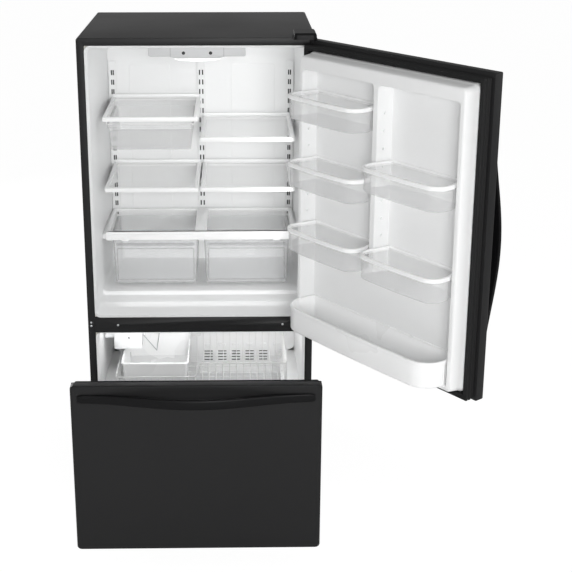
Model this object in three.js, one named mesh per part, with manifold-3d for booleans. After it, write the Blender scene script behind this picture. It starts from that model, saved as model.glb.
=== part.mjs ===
// Bottom freezer refrigerator with its door and its freezer drawer standing open.
// Millimetres. While it is built, x runs right, y runs back from the plane of the cabinet's front
// flange and z runs up from the floor; at the end the whole is centred over the origin.
import * as THREE from "three";
import { mergeVertices } from "three/addons/utils/BufferGeometryUtils.js";
import Module from "manifold-3d";

const wasm = await Module();
wasm.setup();

// ---- driving dimensions ----

// fits
const fit = 0.3; // gap between pieces that touch
const sheet = 1.2; // painted steel
const linerWall = 3;
const tubWall = 2.5;

// cabinet, stacked from the floor up
const cabinetWidth = 832;
const cabinetDepth = 692;
const cabinetBottom = 62; // lower edge of the steel sides
const freezerSill = 43; // freezer opening above the lower edge
const mullionHeight = 59;
const freshHeight = 1033; // from the mullion to the top of the cabinet
const flange = 26.5; // width of the front flange
const flangeReturn = 10; // how far the flange turns in round the openings
const topCornerRadius = 8;
const mullionReturn = 14;

// machine bay and base
const bayHeight = 256;
const bayDepth = 340;
const panThickness = 2;
const railWidth = 17;
const railBase = 30; // underside of the base rails
const legInset = 46;
const legSetback = 40;
const legFootRadius = 18;
const legStemRadius = 6;
const rollerRadius = 22;
const rollerSetback = 70; // from the back of the cabinet
const rollerWidth = 20;
const axleRadius = 5;
const compressorX = 170;
const compressorSetback = 152;

// liners
const lipDepth = 14; // straight lip behind the flange
const lipStep = 6; // step in from the lip to the side wall
const freshInsulation = 142; // between the upper liner's back and the back of the cabinet
const freshDraft = 13; // each side wall leans in by this much at the back
const freshCorner = 16;
const ceilingStep = 9.2;
const floorRise = 24;
const floorStep = 14; // raised floor under the crispers
const floorStepFront = 168;
const freezerInsulation = 140;
const wellSetback = 22; // deep front part of the freezer, in front of the machine bay
const wellShelfRise = 17; // floor of the freezer above the machine bay
const freezerDraft = 9;

// shelves
const trackWidth = 30;
const trackDepth = 8;
const trackSheet = 1.6;
const trackDrop = 131; // below the ceiling
const trackInset = 4.2; // from the wall
const slotPitch = 38;
const slotHeight = 20;
const slotWidth = 5;
const slotSpacing = 12; // between the two columns of the middle track
const sideSlotSpacing = 7;
const slotDrop = 46; // first slot below the track's top
const shelfFront = 140;
const shelfSetback = 3.7; // in front of the tracks
const shelfInner = 3; // gap from the middle of the cabinet
const shelfRise = 20; // top of a shelf above the slot that holds it
const frameHeight = 15;
const frameRim = 14;
const glassSeat = 6;
const glassThickness = 4;
const glassDrop = 2; // below the frame's top
const bracketThickness = 3;
const bracketHeight = 66;
const hookReach = 6.6;

// crispers and deli drawer
const crisperLift = 12.7; // above the raised floor
const crisperHeight = 180.4;
const crisperScoop = 16;
const coverFront = 204;
const coverGap = 7.2; // between the cover and the walls at the back
const coverBar = 44; // middle bar of the cover
const coverRail = 32; // height of the cover's front rail
const coverFrame = 12;
const rimFlange = 8;
const deliHeight = 92;
const deliDrop = 16; // depth of the runners under the shelf

// lighting and controls
const housingHalf = 171;
const housingFront = 58;
const housingBack = 300;
const housingDrop = 41; // below the ceiling
const housingBow = 8;
const housingSeam = 89;
const buttonSpacing = 96;
const lensHalf = 84;
const lensDrop = 23;

// doors
const hingeInset = 15; // hinge axis from the cabinet's side
const hingeSetout = 38; // hinge axis in front of the flange
const doorOpen = 127; // degrees, as it stands
const doorTopGap = 2;
const drawerToeGap = 11;
const seamRise = 7; // the seam between the fronts lies above the middle of the mullion
const seamGap = 7;
const doorFace = 75; // outer face in front of the flange
const skinDepth = 37;
const skinWall = 1.5;
const edgeRound = 6;
const gasketInset = 8;
const gasketTopInset = 16;
const gasketWidth = 19;
const dykeRim = 45; // how far the liner's dykes reach into the cabinet
const pocketFloor = -15;
const dykeWidth = 31;
const dividerWidth = 22;
const pocketDraft = 7;
const pocketTopDrop = 86;
const pocketRise = 54;
const dividerRise = 285; // foot of the divider above the pockets' lower edge
const reliefWall = 2.5;

// door bins
const binPitch = 58.25;
const firstBinDrop = 173; // underside of the highest bin's rim below the door's top
const binHeight = 82;
const binRim = 14;
const binRimLip = 5;
const binShoulder = 6; // where a bin widens, in front of the dykes
const binStraight = 31; // straight side between shoulder and corner
const binBow = 4;
const binCorner = 42;
const binButton = 5;
const troughHeight = 89;
const troughStraight = 5;
const troughCorner = 76;
const troughRim = 12;
const troughRimLip = 3;

// handles
const handleBow = 52;
const doorHandleLength = 808;
const doorHandleRise = 493; // its middle above the door's lower edge
const doorHandleInset = 35;
const drawerHandleEnd = 24; // from its end to the drawer's side
const drawerHandleDrop = 44;
const handleWidth = 36;
const handleThickness = 13;
const handleRoot = 8; // thickness of the bar where it meets the skin

// hinges
const pinRadius = 5;
const pinLength = 14;
const hingePlate = 4;
const coverHeight = 22;
const coverDepth = 68;

// freezer drawer
const drawerRelief = 3; // back face of the drawer's inner panel, in front of the flange
const railHold = 52; // runner left in its rail where the drawer stands open
const railCornerGap = 1; // how far the rails reach down beside the freezer's rounded corner
const railHeight = 34;
const railBackGap = 22;
const runnerOverrun = 16; // runner behind the rail when the drawer is shut
const runnerWidth = 11;
const freezerBinLift = 17; // above the freezer opening's lower edge
const freezerBinFront = 6;
const freezerBinGap = 12; // behind the bin

// freezer basket and fittings
const ledgeRise = 6.5;
const ledgeWidth = 63.3;
const ledgeBearing = 14;
const basketFront = 6;
const basketGap = 26; // behind the basket
const basketLowRise = 75.5;
const basketStep = 54; // from the low front to the high one
const wire = 5;
const coilSpace = 112; // behind the evaporator cover
const ventGroups = 5;
const ventPitch = 56.5;
const ventRows = 4;
const ventRowPitch = 12.5;
const ventWidth = 34;
const firstVent = 19;
const iceBinWidth = 250;
const iceBinInset = 20;
const iceBinHeight = 102.4;
const iceBinSetback = 50;
const iceBinGap = 42;
const basketSplitGap = 40; // the high front begins beside the ice bin
const armClearance = 6; // the bail's bar above the ice bin
const armDrop = 66;
const armReach = 50;
const armWire = 2;
const pivotDrop = 73.7; // below the freezer's ceiling
const iceMakerWidth = 106;
const iceMakerInset = 34.3;
const iceMakerLength = 240;
const iceMakerGap = 50;

// ---- worked out from them ----

// heights
const bayTop = cabinetBottom + bayHeight;
const wellShelf = bayTop + wellShelfRise;
const railBottom = wellShelf + freshCorner - railCornerGap;
const ledgeTop = railBottom + railHeight + ledgeRise;
const basketFloor = ledgeTop + fit + wire / 2;
const basketLow = ledgeTop + basketLowRise;
const basketHigh = basketLow + basketStep;
const iceBinFloor = basketFloor + wire * 1.2 + fit;
const iceBinTop = iceBinFloor + iceBinHeight;
const armZ = iceBinTop + armClearance + armDrop;
const freezerTop = armZ + pivotDrop;
const freezerOpeningBottom = cabinetBottom + freezerSill;
const mullionBottom = freezerTop + linerWall + fit;
const mullionTop = mullionBottom + mullionHeight;
const cabinetTop = mullionTop + freshHeight;
const freshTop = cabinetTop - flange - fit - linerWall;
const freshCeiling = freshTop - ceilingStep;
const freshFloor = mullionTop + fit + linerWall;
const crisperBottom = freshFloor + floorRise + floorStep + crisperLift;
const crisperTop = crisperBottom + crisperHeight;
const crisperRimZ = crisperTop - 2;
const coverTop = crisperTop + 2 * fit + coverRail; // the crispers pass under the front rail
const seam = (mullionBottom + mullionTop) / 2 + seamRise;
const doorTop = cabinetTop - doorTopGap;
const doorBottom = seam + seamGap / 2;
const drawerTop = seam - seamGap / 2;
const drawerBottom = cabinetBottom + drawerToeGap;

// widths
const half = cabinetWidth / 2;
const opening = half - flange;
const linerMouth = opening - fit - linerWall;
const linerSide = linerMouth - lipStep;
const coverHalf = linerSide - freshDraft - coverGap;
const sideTrack = linerSide - freshDraft - trackInset - trackWidth / 2;
const railBoss = linerSide - freezerDraft + fit / 3; // faces that carry the slide rails
const ledgeInner = railBoss - ledgeWidth;
const basketHalf = ledgeInner + ledgeBearing;
const iceBinLeft = iceBinInset - basketHalf;
const basketSplit = iceBinLeft + iceBinWidth + basketSplitGap;
const iceMakerLeft = iceMakerInset - railBoss;
const iceMakerRight = iceMakerLeft + iceMakerWidth;
const hingeX = half - hingeInset;
const pocketOuter = opening - dykeWidth;

// depths
const bayFront = cabinetDepth - bayDepth;
const wellDepth = bayFront - wellSetback;
const freshDepth = cabinetDepth - freshInsulation;
const freezerDepth = cabinetDepth - freezerInsulation;
const trackFront = freshDepth - fit - trackDepth;
const shelfBack = trackFront - shelfSetback;
const deliFront = shelfFront + 3;
const deliBack = shelfBack - 48;
const coverBack = freshDepth - 22;
const crisperFront = coverFront + 18;
const crisperBack = freshDepth - 18;
const railFront = lipDepth + 10;
const railBack = freezerDepth - railBackGap;
const drawerOut = railBack + runnerOverrun - railFront - railHold;
const coverPlane = freezerDepth - coilSpace; // front of the evaporator cover
const basketBack = coverPlane - basketGap;
const iceBinFront = basketFront + iceBinSetback;
const iceBinBack = basketBack - iceBinGap;
const iceMakerFront = coverPlane - iceMakerGap - iceMakerLength;
const freezerBinBack = wellDepth - freezerBinGap;

// rows of slots and of bin supports
const trackTop = freshCeiling - trackDrop;
const firstSlot = trackTop - slotDrop;
const lowestSlot = coverTop - slotHeight - 4;
const slotRows = Math.floor((firstSlot - lowestSlot) / slotPitch) + 1;
const slotRow = (row) => firstSlot - slotPitch * row;
const pocketTop = doorTop - pocketTopDrop;
const pocketBottom = doorBottom + pocketRise;
const dividerBottom = pocketBottom + dividerRise;
const troughTop = pocketBottom + troughHeight;
const firstBinSeat = doorTop - firstBinDrop;
const lowestBinSeat = dividerBottom + binHeight - binRim + 2;
const binRows = Math.floor((firstBinSeat - lowestBinSeat) / binPitch) + 1;
const binSeat = (row) => firstBinSeat - binPitch * row;

// ---- shaping ----

const arcSteps = 2;
const smallRadius = 5; // corners below this get one facet

function solid(geometry) {
  const bare = new THREE.BufferGeometry();
  bare.setAttribute("position", geometry.getAttribute("position"));
  if (geometry.index) bare.setIndex(geometry.index);
  const merged = mergeVertices(bare, 1e-4);
  return new wasm.Manifold(
    new wasm.Mesh({
      numProp: 3,
      vertProperties: merged.attributes.position.array,
      triVerts: new Uint32Array(merged.index.array),
    }),
  );
}

function join(first, ...others) {
  return others.reduce((whole, next) => whole.add(next), first);
}

function cut(body, ...tools) {
  return tools.reduce((whole, tool) => whole.subtract(tool), body);
}

function block(x0, x1, y0, y1, z0, z1) {
  const geometry = new THREE.BoxGeometry(x1 - x0, y1 - y0, z1 - z0);
  return solid(geometry.translate((x0 + x1) / 2, (y0 + y1) / 2, (z0 + z1) / 2));
}

// The same block on both sides of the middle plane, or only on one.
function pair(x0, x1, ...rest) {
  return join(block(x0, x1, ...rest), block(-x1, -x0, ...rest));
}

function extrude(shape, depth, curveSegments = 1) {
  return new THREE.ExtrudeGeometry(shape, { depth, bevelEnabled: false, curveSegments });
}

// A shape drawn in x and z, from y0 back to y1.
function alongY(shape, y0, y1) {
  const geometry = extrude(shape, y1 - y0).rotateX(Math.PI / 2);
  return solid(geometry.translate(0, y1, 0));
}

// A shape drawn in y and z, from x0 to x1.
function alongX(shape, x0, x1) {
  const turn = new THREE.Matrix4().makeBasis(
    new THREE.Vector3(0, 1, 0),
    new THREE.Vector3(0, 0, 1),
    new THREE.Vector3(1, 0, 0),
  );
  return solid(extrude(shape, x1 - x0).applyMatrix4(turn).translate(x0, 0, 0));
}

// A shape drawn in x and y, from z0 up to z1.
function alongZ(shape, z0, z1, steps) {
  return solid(extrude(shape, z1 - z0, steps).translate(0, 0, z0));
}

function outline(points) {
  return new THREE.Shape(points.map(([u, v]) => new THREE.Vector2(u, v)));
}

function rounded(u0, u1, v0, v1, radius) {
  const shape = new THREE.Shape();
  shape.moveTo(u0 + radius, v0);
  shape.lineTo(u1 - radius, v0);
  shape.absarc(u1 - radius, v0 + radius, radius, -Math.PI / 2, 0, false);
  shape.absarc(u1 - radius, v1 - radius, radius, 0, Math.PI / 2, false);
  shape.absarc(u0 + radius, v1 - radius, radius, Math.PI / 2, Math.PI, false);
  shape.absarc(u0 + radius, v0 + radius, radius, Math.PI, Math.PI * 1.5, false);
  return shape;
}

// Leads a shape on to a point along a shallow bow.
function bow(shape, [u0, v0], [u1, v1], rise, steps = 6) {
  for (let i = 1; i <= steps; i++) {
    const t = i / steps;
    shape.lineTo(u0 + (u1 - u0) * t, v0 + (v1 - v0) * t + 4 * rise * t * (1 - t));
  }
}

function rod(radius, from, to, sides = 10) {
  const a = new THREE.Vector3(...from);
  const b = new THREE.Vector3(...to);
  const geometry = new THREE.CylinderGeometry(radius, radius, a.distanceTo(b), sides);
  const up = new THREE.Vector3(0, 1, 0);
  const turn = new THREE.Quaternion().setFromUnitVectors(up, b.clone().sub(a).normalize());
  geometry.applyQuaternion(turn);
  return solid(geometry.translate(...a.add(b).multiplyScalar(0.5).toArray()));
}

// Round sections [radius, height] turned about an upright axis at x, y.
function turned(x, y, profile, sides = 12) {
  const points = profile.map(([r, z]) => new THREE.Vector2(r, z));
  const geometry = new THREE.LatheGeometry(points, sides).rotateX(Math.PI / 2);
  return solid(geometry.translate(x, y, 0));
}

// The corner points of one rectangular section with rounded corners.
function ring(u0, u1, v0, v1, radius) {
  const corners = [
    [u1 - radius, v0 + radius, -1],
    [u1 - radius, v1 - radius, 0],
    [u0 + radius, v1 - radius, 1],
    [u0 + radius, v0 + radius, 2],
  ];
  const steps = radius < smallRadius ? 1 : arcSteps;
  return corners.flatMap(([u, v, quarter]) =>
    Array.from({ length: steps + 1 }, (_, i) => {
      const angle = ((quarter + i / steps) * Math.PI) / 2;
      return [u + radius * Math.cos(angle), v + radius * Math.sin(angle)];
    }),
  );
}

// A closed body through sections that stand across one axis: each is { at, points }.
function loft(axis, sections) {
  const place = {
    y: (u, v, at) => [u, at, v],
    z: (u, v, at) => [u, v, at],
    x: (u, v, at) => [at, u, v],
  }[axis];
  const count = sections[0].points.length;
  const position = sections.flatMap(({ at, points }) => points.flatMap(([u, v]) => place(u, v, at)));
  const faces = [];
  for (let s = 0; s + 1 < sections.length; s++)
    for (let i = 0; i < count; i++) {
      const a = s * count + i;
      const b = s * count + ((i + 1) % count);
      faces.push([a, b, b + count], [a, b + count, a + count]);
    }
  const end = (sections.length - 1) * count;
  for (let i = 1; i + 1 < count; i++)
    faces.push([0, i + 1, i], [end, end + i, end + i + 1]);
  const closed = (triangles) => {
    const geometry = new THREE.BufferGeometry();
    geometry.setAttribute("position", new THREE.Float32BufferAttribute(position, 3));
    geometry.setIndex(triangles.flat());
    return solid(geometry);
  };
  const body = closed(faces);
  return body.volume() > 0 ? body : closed(faces.map(([a, b, c]) => [a, c, b]));
}

// Sections given as [at, u0, u1, v0, v1, radius].
function tube(axis, ...rows) {
  return loft(
    axis,
    rows.map(([at, ...box]) => ({ at, points: ring(...box) })),
  );
}

// ---- finishes ----

const finishes = {
  blackSteel: { color: 0x141516, roughness: 0.32, metalness: 0.1 },
  blackPlastic: { color: 0x17181a, roughness: 0.45, metalness: 0 },
  whitePlastic: { color: 0xe9eaea, roughness: 0.4, metalness: 0 },
  greyPlastic: { color: 0xc9cbcc, roughness: 0.5, metalness: 0 },
  clearPlastic: { color: 0xdfe3e4, roughness: 0.15, metalness: 0 },
  glass: { color: 0xd5dcdc, roughness: 0.05, metalness: 0 },
  gasketRubber: { color: 0x3a3b3d, roughness: 0.8, metalness: 0 },
  blackRubber: { color: 0x1c1c1d, roughness: 0.8, metalness: 0 },
  foam: { color: 0xe3d9b0, roughness: 0.95, metalness: 0 },
  zincSteel: { color: 0x9a9ea1, roughness: 0.4, metalness: 0.8 },
  whiteWire: { color: 0xf1f1f0, roughness: 0.35, metalness: 0 },
  castBlack: { color: 0x1a1b1c, roughness: 0.6, metalness: 0.2 },
};

const refrigerator = new THREE.Group();

const doorGroup = new THREE.Group();
doorGroup.position.set(hingeX, -hingeSetout, 0);
doorGroup.rotation.z = THREE.MathUtils.degToRad(doorOpen);
const door = new THREE.Group();
door.position.set(-hingeX, hingeSetout, 0);
doorGroup.add(door);

const drawer = new THREE.Group();
drawer.position.y = -drawerOut;
refrigerator.add(doorGroup, drawer);

function piece(name, body, finish, group = refrigerator) {
  const { vertProperties, triVerts } = body.getMesh();
  const geometry = new THREE.BufferGeometry();
  geometry.setAttribute("position", new THREE.BufferAttribute(vertProperties, 3));
  geometry.setIndex(new THREE.BufferAttribute(triVerts, 1));
  geometry.computeVertexNormals();
  const mesh = new THREE.Mesh(geometry, new THREE.MeshStandardMaterial(finishes[finish]));
  mesh.name = name;
  group.add(mesh);
  return mesh;
}

// ---- cabinet ----

// The space inside the upper liner, grown outwards by a wall.
function freshSpace(grow, front = 0) {
  const side = linerSide;
  const back = side - freshDraft;
  const sill = freshFloor;
  const floor = freshFloor + floorRise;
  const rows = [
    [front, linerMouth, sill, freshTop],
    [lipDepth, linerMouth, sill, freshTop],
    [lipDepth + 10, side, sill + 4, freshCeiling],
    [floorStepFront * 0.56, side - freshDraft * 0.15, floor - 1, freshCeiling],
    [floorStepFront - 4, side - freshDraft * 0.3, floor, freshCeiling],
    [floorStepFront + 4, side - freshDraft * 0.3, floor + floorStep, freshCeiling],
    [freshDepth - 16, back, floor + floorStep + 2, freshCeiling],
    [freshDepth + grow, back - 2, floor + floorStep + 4, freshCeiling - 4],
  ];
  return tube(
    "y",
    ...rows.map(([y, x, z0, z1]) => [y, -x - grow, x + grow, z0 - grow, z1 + grow, freshCorner]),
  );
}

function freezerSpace(grow, front = 0) {
  const side = linerSide;
  const lip = [linerMouth + grow, freezerOpeningBottom + fit + linerWall - grow];
  const well = tube(
    "y",
    [front, -lip[0], lip[0], lip[1], freezerTop + grow, freshCorner],
    [lipDepth, -lip[0], lip[0], lip[1], freezerTop + grow, freshCorner],
    [lipDepth + 10, -side - grow, side + grow, lip[1] + 4, freezerTop - 4 + grow, freshCorner],
    [wellDepth + grow, -side + 4 - grow, side - 4 + grow, lip[1] + 8, freezerTop - 5 + grow, freshCorner],
  );
  const back = side - freezerDraft;
  const upper = tube(
    "y",
    [lipDepth + 10, -side - grow, side + grow, wellShelf - grow, freezerTop - 4 + grow, freshCorner],
    [freezerDepth + grow, -back - grow, back + grow, wellShelf - grow, freezerTop - 10 + grow, freshCorner],
  );
  return join(well, upper);
}

// Where the side walls and the roof of the freezer lie at a depth.
const freezerRun = (y) => (y - lipDepth - 10) / (freezerDepth - lipDepth - 10);
const freezerWall = (y) => linerSide - freezerDraft * freezerRun(y);
const freezerRoof = (y) => freezerTop - 4 - 6 * freezerRun(y);

function makeOuterWrapper() {
  const inner = half - sheet;
  const r = topCornerRadius;
  const outside = alongY(rounded(-half, half, cabinetBottom - 40, cabinetTop, r), 0, cabinetDepth);
  const hollow = rounded(-inner, inner, cabinetBottom - 60, cabinetTop - sheet, r - sheet);
  const face = (grow) =>
    rounded(
      -opening - grow,
      opening + grow,
      freezerOpeningBottom - grow,
      cabinetTop - flange + grow,
      5 + grow,
    );
  const plugs = [seam + 3, seam - 10.5].map((z) =>
    rod(3.4, [-half + 12, -sheet, z], [-half + 12, sheet / 2, z], 8),
  );
  const shell = cut(outside, alongY(hollow, sheet, cabinetDepth + 1));
  const lip = alongY(face(sheet), 0, flangeReturn);
  const skirt = block(-half - 1, half + 1, -1, cabinetDepth + 1, 0, cabinetBottom);
  const framed = cut(join(shell, lip), alongY(face(0), -1, flangeReturn + 1), skirt);
  return join(framed, ...plugs);
}

function makeMullionCover() {
  const side = opening - fit;
  const z0 = mullionBottom + fit;
  const z1 = mullionTop - fit;
  const channel = block(-side, side, 0, mullionReturn, z0, z1);
  const groove = block(-side - 1, side + 1, sheet, mullionReturn + 1, z0 + sheet, z1 - sheet);
  const screws = [-1, 1].map((sign) => {
    const [x, z] = [sign * (half - 111), (z0 + z1) / 2];
    return rod(4.5, [x, -1.5, z], [x, sheet / 2, z], 8);
  });
  return join(cut(channel, groove), ...screws);
}

function makeCabinetFoam() {
  const side = half - sheet - fit;
  const top = cabinetTop - sheet - fit;
  const back = cabinetDepth - 8 - fit;
  const r = topCornerRadius - sheet;
  const core = alongY(rounded(-side, side, cabinetBottom, top, r), sheet + fit, back);
  const grown = linerWall + fit;
  const bay = block(-half, half, bayFront, cabinetDepth, 0, bayTop);
  const channel = (z0, z1) =>
    alongY(
      rounded(-opening - sheet - fit, opening + sheet + fit, z0, z1, 3),
      0,
      flangeReturn + fit,
    );
  const mouth = channel(freezerOpeningBottom - sheet - fit, cabinetTop - flange + sheet + fit);
  const [side0, gap] = [opening - fit, sheet + fit];
  const [low, high] = [mullionBottom + fit + gap, mullionTop - fit - gap];
  const mullion = block(-side0, side0, gap, mullionReturn + 4, low, high);
  const around = [mullionReturn + fit, mullionBottom - 2, mullionTop + 2];
  const middle = block(-opening - 1, opening + 1, flangeReturn, ...around);
  const body = cut(core, mouth, middle, freshSpace(grown), freezerSpace(grown), bay);
  return join(body, cut(mullion, freshSpace(grown), freezerSpace(grown)));
}

function makeFreshLiner() {
  const shell = cut(freshSpace(linerWall), freshSpace(0, -1), block(-half, half, -9, fit, mullionBottom, cabinetTop));
  const ledge = coverTop - coverFrame - fit;
  const ribs = pair(coverHalf - 7, linerMouth + 2, coverFront + 20, freshDepth - 20, ledge - 22, ledge);
  return join(shell, ribs.intersect(freshSpace(1)));
}

function makeFreezerLiner() {
  const shell = cut(freezerSpace(linerWall), freezerSpace(0, -1), block(-half, half, -9, fit, cabinetBottom, mullionTop));
  const boss = pair(railBoss, half, railFront - 2, freezerDepth - 40, railBottom - 10, ledgeTop - 4);
  const ledge = pair(ledgeInner, half, lipDepth + 4, coverPlane - 6, ledgeTop - 4, ledgeTop);
  return join(shell, join(boss, ledge).intersect(freezerSpace(1)));
}

function makeBackPanel() {
  const side = half - sheet - fit;
  const inner = cabinetDepth - 8;
  const bead = (x) => [
    [x - 14, inner + sheet],
    [x - 8, inner + 4],
    [x + 8, inner + 4],
    [x + 14, inner + sheet],
  ];
  const beads = [156 - half, 0, half - 156];
  const outer = beads.flatMap(bead).reverse();
  const back = beads.flatMap((x) => bead(x).map(([u, v]) => [u, v - sheet]));
  const profile = [[-side, inner], ...back, [side, inner], [side, inner + sheet], ...outer];
  const panel = outline([...profile, [-side, inner + sheet]]);
  return alongZ(panel, bayTop + 6, cabinetTop - sheet - fit - 7);
}

// ---- base, machine bay and feet ----

function makeBaseFrame() {
  const top = cabinetBottom - fit;
  const under = top - panThickness;
  const outer = half - 2;
  const pan = block(-outer, outer, 5, cabinetDepth - 10, under, top);
  const rails = pair(outer - railWidth, outer, 5, cabinetDepth - 10, railBase, under);
  const front = block(-outer, outer, 5, 75, railBase, under);
  const trough = block(-outer + 3, outer - 3, 8, 72, railBase + 3, under);
  const axleY = cabinetDepth - rollerSetback;
  const inside = outer - railWidth;
  const ears = [inside - 3 - rollerWidth - 6, inside - 3].map((x) =>
    pair(x, x + 3, axleY - 16, axleY + 16, 10, under),
  );
  const holes = [-1, 1].map((sign) => {
    const start = sign * (inside - 40);
    const end = sign * (inside + 2);
    return rod(axleRadius + fit, [start, axleY, rollerRadius], [end, axleY, rollerRadius], 16);
  });
  const stems = [-1, 1].map((sign) => {
    const x = sign * (half - legInset);
    return rod(legStemRadius + fit, [x, legSetback, railBase - 5], [x, legSetback, railBase + 8], 16);
  });
  const body = join(cut(join(pan, rails, front), trough), ...ears);
  return cut(body, ...holes, ...stems);
}

function makeLevellingLeg(sign) {
  const x = sign * (half - legInset);
  return turned(x, legSetback, [
    [0, 0],
    [legFootRadius - 2, 0],
    [legFootRadius, 3],
    [legFootRadius, 8],
    [legStemRadius + 4, 12],
    [legStemRadius + 4, railBase - fit],
    [legStemRadius, railBase - fit],
    [legStemRadius, cabinetBottom - 10],
    [0, cabinetBottom - 10],
  ]);
}

function makeRearRollers() {
  const y = cabinetDepth - rollerSetback;
  const inside = half - 2 - railWidth;
  const axle = rod(axleRadius, [-inside + 0.5, y, rollerRadius], [inside - 0.5, y, rollerRadius], 12);
  const wheels = [-1, 1].map((sign) => {
    const outer = sign * (inside - 6);
    return rod(rollerRadius, [outer, y, rollerRadius], [outer - sign * rollerWidth, y, rollerRadius], 16);
  });
  return join(axle, ...wheels);
}

function makeCompressor() {
  const x = compressorX;
  const y = cabinetDepth - compressorSetback;
  const base = cabinetBottom;
  const can = turned(x, y, [
    [0, base + 22],
    [70, base + 22],
    [92, base + 50],
    [96, base + 98],
    [84, base + 150],
    [50, base + 182],
    [0, base + 188],
  ]);
  const plate = block(x - 118, x + 118, y - 62, y + 62, base + 16, base + 24);
  const feet = [-1, 1].flatMap((i) =>
    [-1, 1].map((j) => rod(11, [x + i * 100, y + j * 45, base], [x + i * 100, y + j * 45, base + 18], 8)),
  );
  const stub = rod(5, [x - 60, y, base + 130], [x - 118, y, base + 130], 8);
  return join(can, plate, stub, ...feet);
}

function makeRearCover() {
  const side = half - sheet - fit;
  const y = cabinetDepth - 8;
  const face = rounded(-side, side, cabinetBottom + fit, bayTop + 6 - fit, 4);
  const plate = alongY(face, y, y + 1.6);
  const louvres = Array.from({ length: 4 }, (_, i) => cabinetBottom + 62 + i * 42).flatMap((z) =>
    [-320, -100, 120].map((x) => block(x, x + 200, y - 1, y + 3, z, z + 9)),
  );
  const low = cabinetBottom + 30;
  const [cordX, waterX] = [56 - half, half - 71];
  const gland = rod(14, [cordX, y, low], [cordX, y + 7.6, low], 12);
  const inlet = rod(9, [waterX, y, low], [waterX, y + 7.6, low], 12);
  const bores = [
    rod(6, [cordX, y - 1, low], [cordX, y + 9, low], 8),
    rod(4, [waterX, y - 1, low], [waterX, y + 9, low], 8),
  ];
  return cut(join(plate, gland, inlet), join(...louvres), ...bores);
}

// ---- shelves on slotted tracks ----

function makeShelfTrack(x, spacing = sideSlotSpacing) {
  const bottom = slotRow(slotRows) - 10;
  const [left, right] = [x - trackWidth / 2, x + trackWidth / 2];
  const back = freshDepth - fit;
  const plate = block(left, right, trackFront, trackFront + trackSheet, bottom, trackTop);
  const slots = [];
  for (let row = 0; row < slotRows; row++)
    for (const column of [-spacing / 2, spacing / 2]) {
      const [u, v] = [x + column, slotRow(row)];
      const [w, h] = [slotWidth / 2, slotHeight / 2];
      slots.push(block(u - w, u + w, trackFront - 1, trackFront + 3, v - h, v + h));
    }
  const walls = [
    block(left, left + trackSheet, trackFront, back, bottom, trackTop),
    block(right - trackSheet, right, trackFront, back, bottom, trackTop),
  ];
  return join(cut(plate, join(...slots)), ...walls);
}

// One steel arm under a shelf, with two hooks that drop into its track's slots.
function makeBracket(x, row) {
  const top = slotRow(row) + shelfRise - frameHeight + 2;
  const back = trackFront - fit;
  const arm = outline([
    [shelfFront + 22, top - 6],
    [back, top - bracketHeight],
    [back, top],
    [shelfFront + 22, top],
  ]);
  const hooks = [row, row + 1].map((r) => {
    const z = slotRow(r);
    const inside = trackFront + trackSheet + fit;
    const reach = trackFront + hookReach;
    const top0 = z + slotHeight / 2 - fit - 2;
    const base = z - slotHeight / 2 + fit;
    return outline([
      [back - 4, base],
      [inside, base],
      [inside, base - 5],
      [reach, base - 5],
      [reach, top0],
      [back - 4, top0],
    ]);
  });
  const [x0, x1] = [x - bracketThickness / 2, x + bracketThickness / 2];
  return join(alongX(arm, x0, x1), ...hooks.map((hook) => alongX(hook, x0, x1)));
}

function shelfSpan(side) {
  const near = shelfInner;
  const far = sideTrack + sideSlotSpacing / 2 + 0.5;
  return side < 0 ? [-far, -near] : [near, far];
}

function makeShelfFrame(side, row) {
  const [x0, x1] = shelfSpan(side);
  const top = slotRow(row) + shelfRise;
  const [y0, y1] = [shelfFront, shelfBack];
  const body = alongZ(rounded(x0, x1, y0, y1, 7), top - frameHeight, top);
  const [rim, seat] = [frameRim, frameRim - glassSeat];
  const window = block(x0 + rim, x1 - rim, y0 + rim, y1 - rim, top - 50, top + 1);
  const seatFloor = top - glassDrop - glassThickness - fit;
  const rebate = block(x0 + seat, x1 - seat, y0 + seat, y1 - seat, seatFloor, top + 1);
  const arms = [slotSpacing / 2, sideTrack - sideSlotSpacing / 2].map((x) => makeBracket(side * x, row));
  return join(cut(body, window, rebate), ...arms);
}

function makeShelfGlass(side, row) {
  const [x0, x1] = shelfSpan(side);
  const top = slotRow(row) + shelfRise - glassDrop;
  const seat = frameRim - glassSeat + fit;
  const [y0, y1] = [shelfFront + seat, shelfBack - seat];
  return block(x0 + seat, x1 - seat, y0, y1, top - glassThickness, top);
}

const rowAt = (share) => Math.round(share * slotRows);
const deliRow = rowAt(3 / 16);
const deliSpan = [
  -sideTrack - 6 + frameRim,
  -shelfInner - frameRim + 2,
];

// Two angle runners under the deli shelf, which carry the drawer's rim.
function makeDeliRunners() {
  const top = slotRow(deliRow) + shelfRise - frameHeight;
  const [x0, x1] = deliSpan;
  const [y0, y1] = [deliFront + 20, shelfBack - 30];
  const drop = deliDrop;
  return [
    block(x0, x0 + 2, y0, y1, top - drop, top + 1),
    block(x0, x0 + 2 + rimFlange, y0, y1, top - drop, top - drop + 2),
    block(x1 - 2, x1, y0, y1, top - drop, top + 1),
    block(x1 - 2 - rimFlange, x1, y0, y1, top - drop, top - drop + 2),
  ];
}

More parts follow.
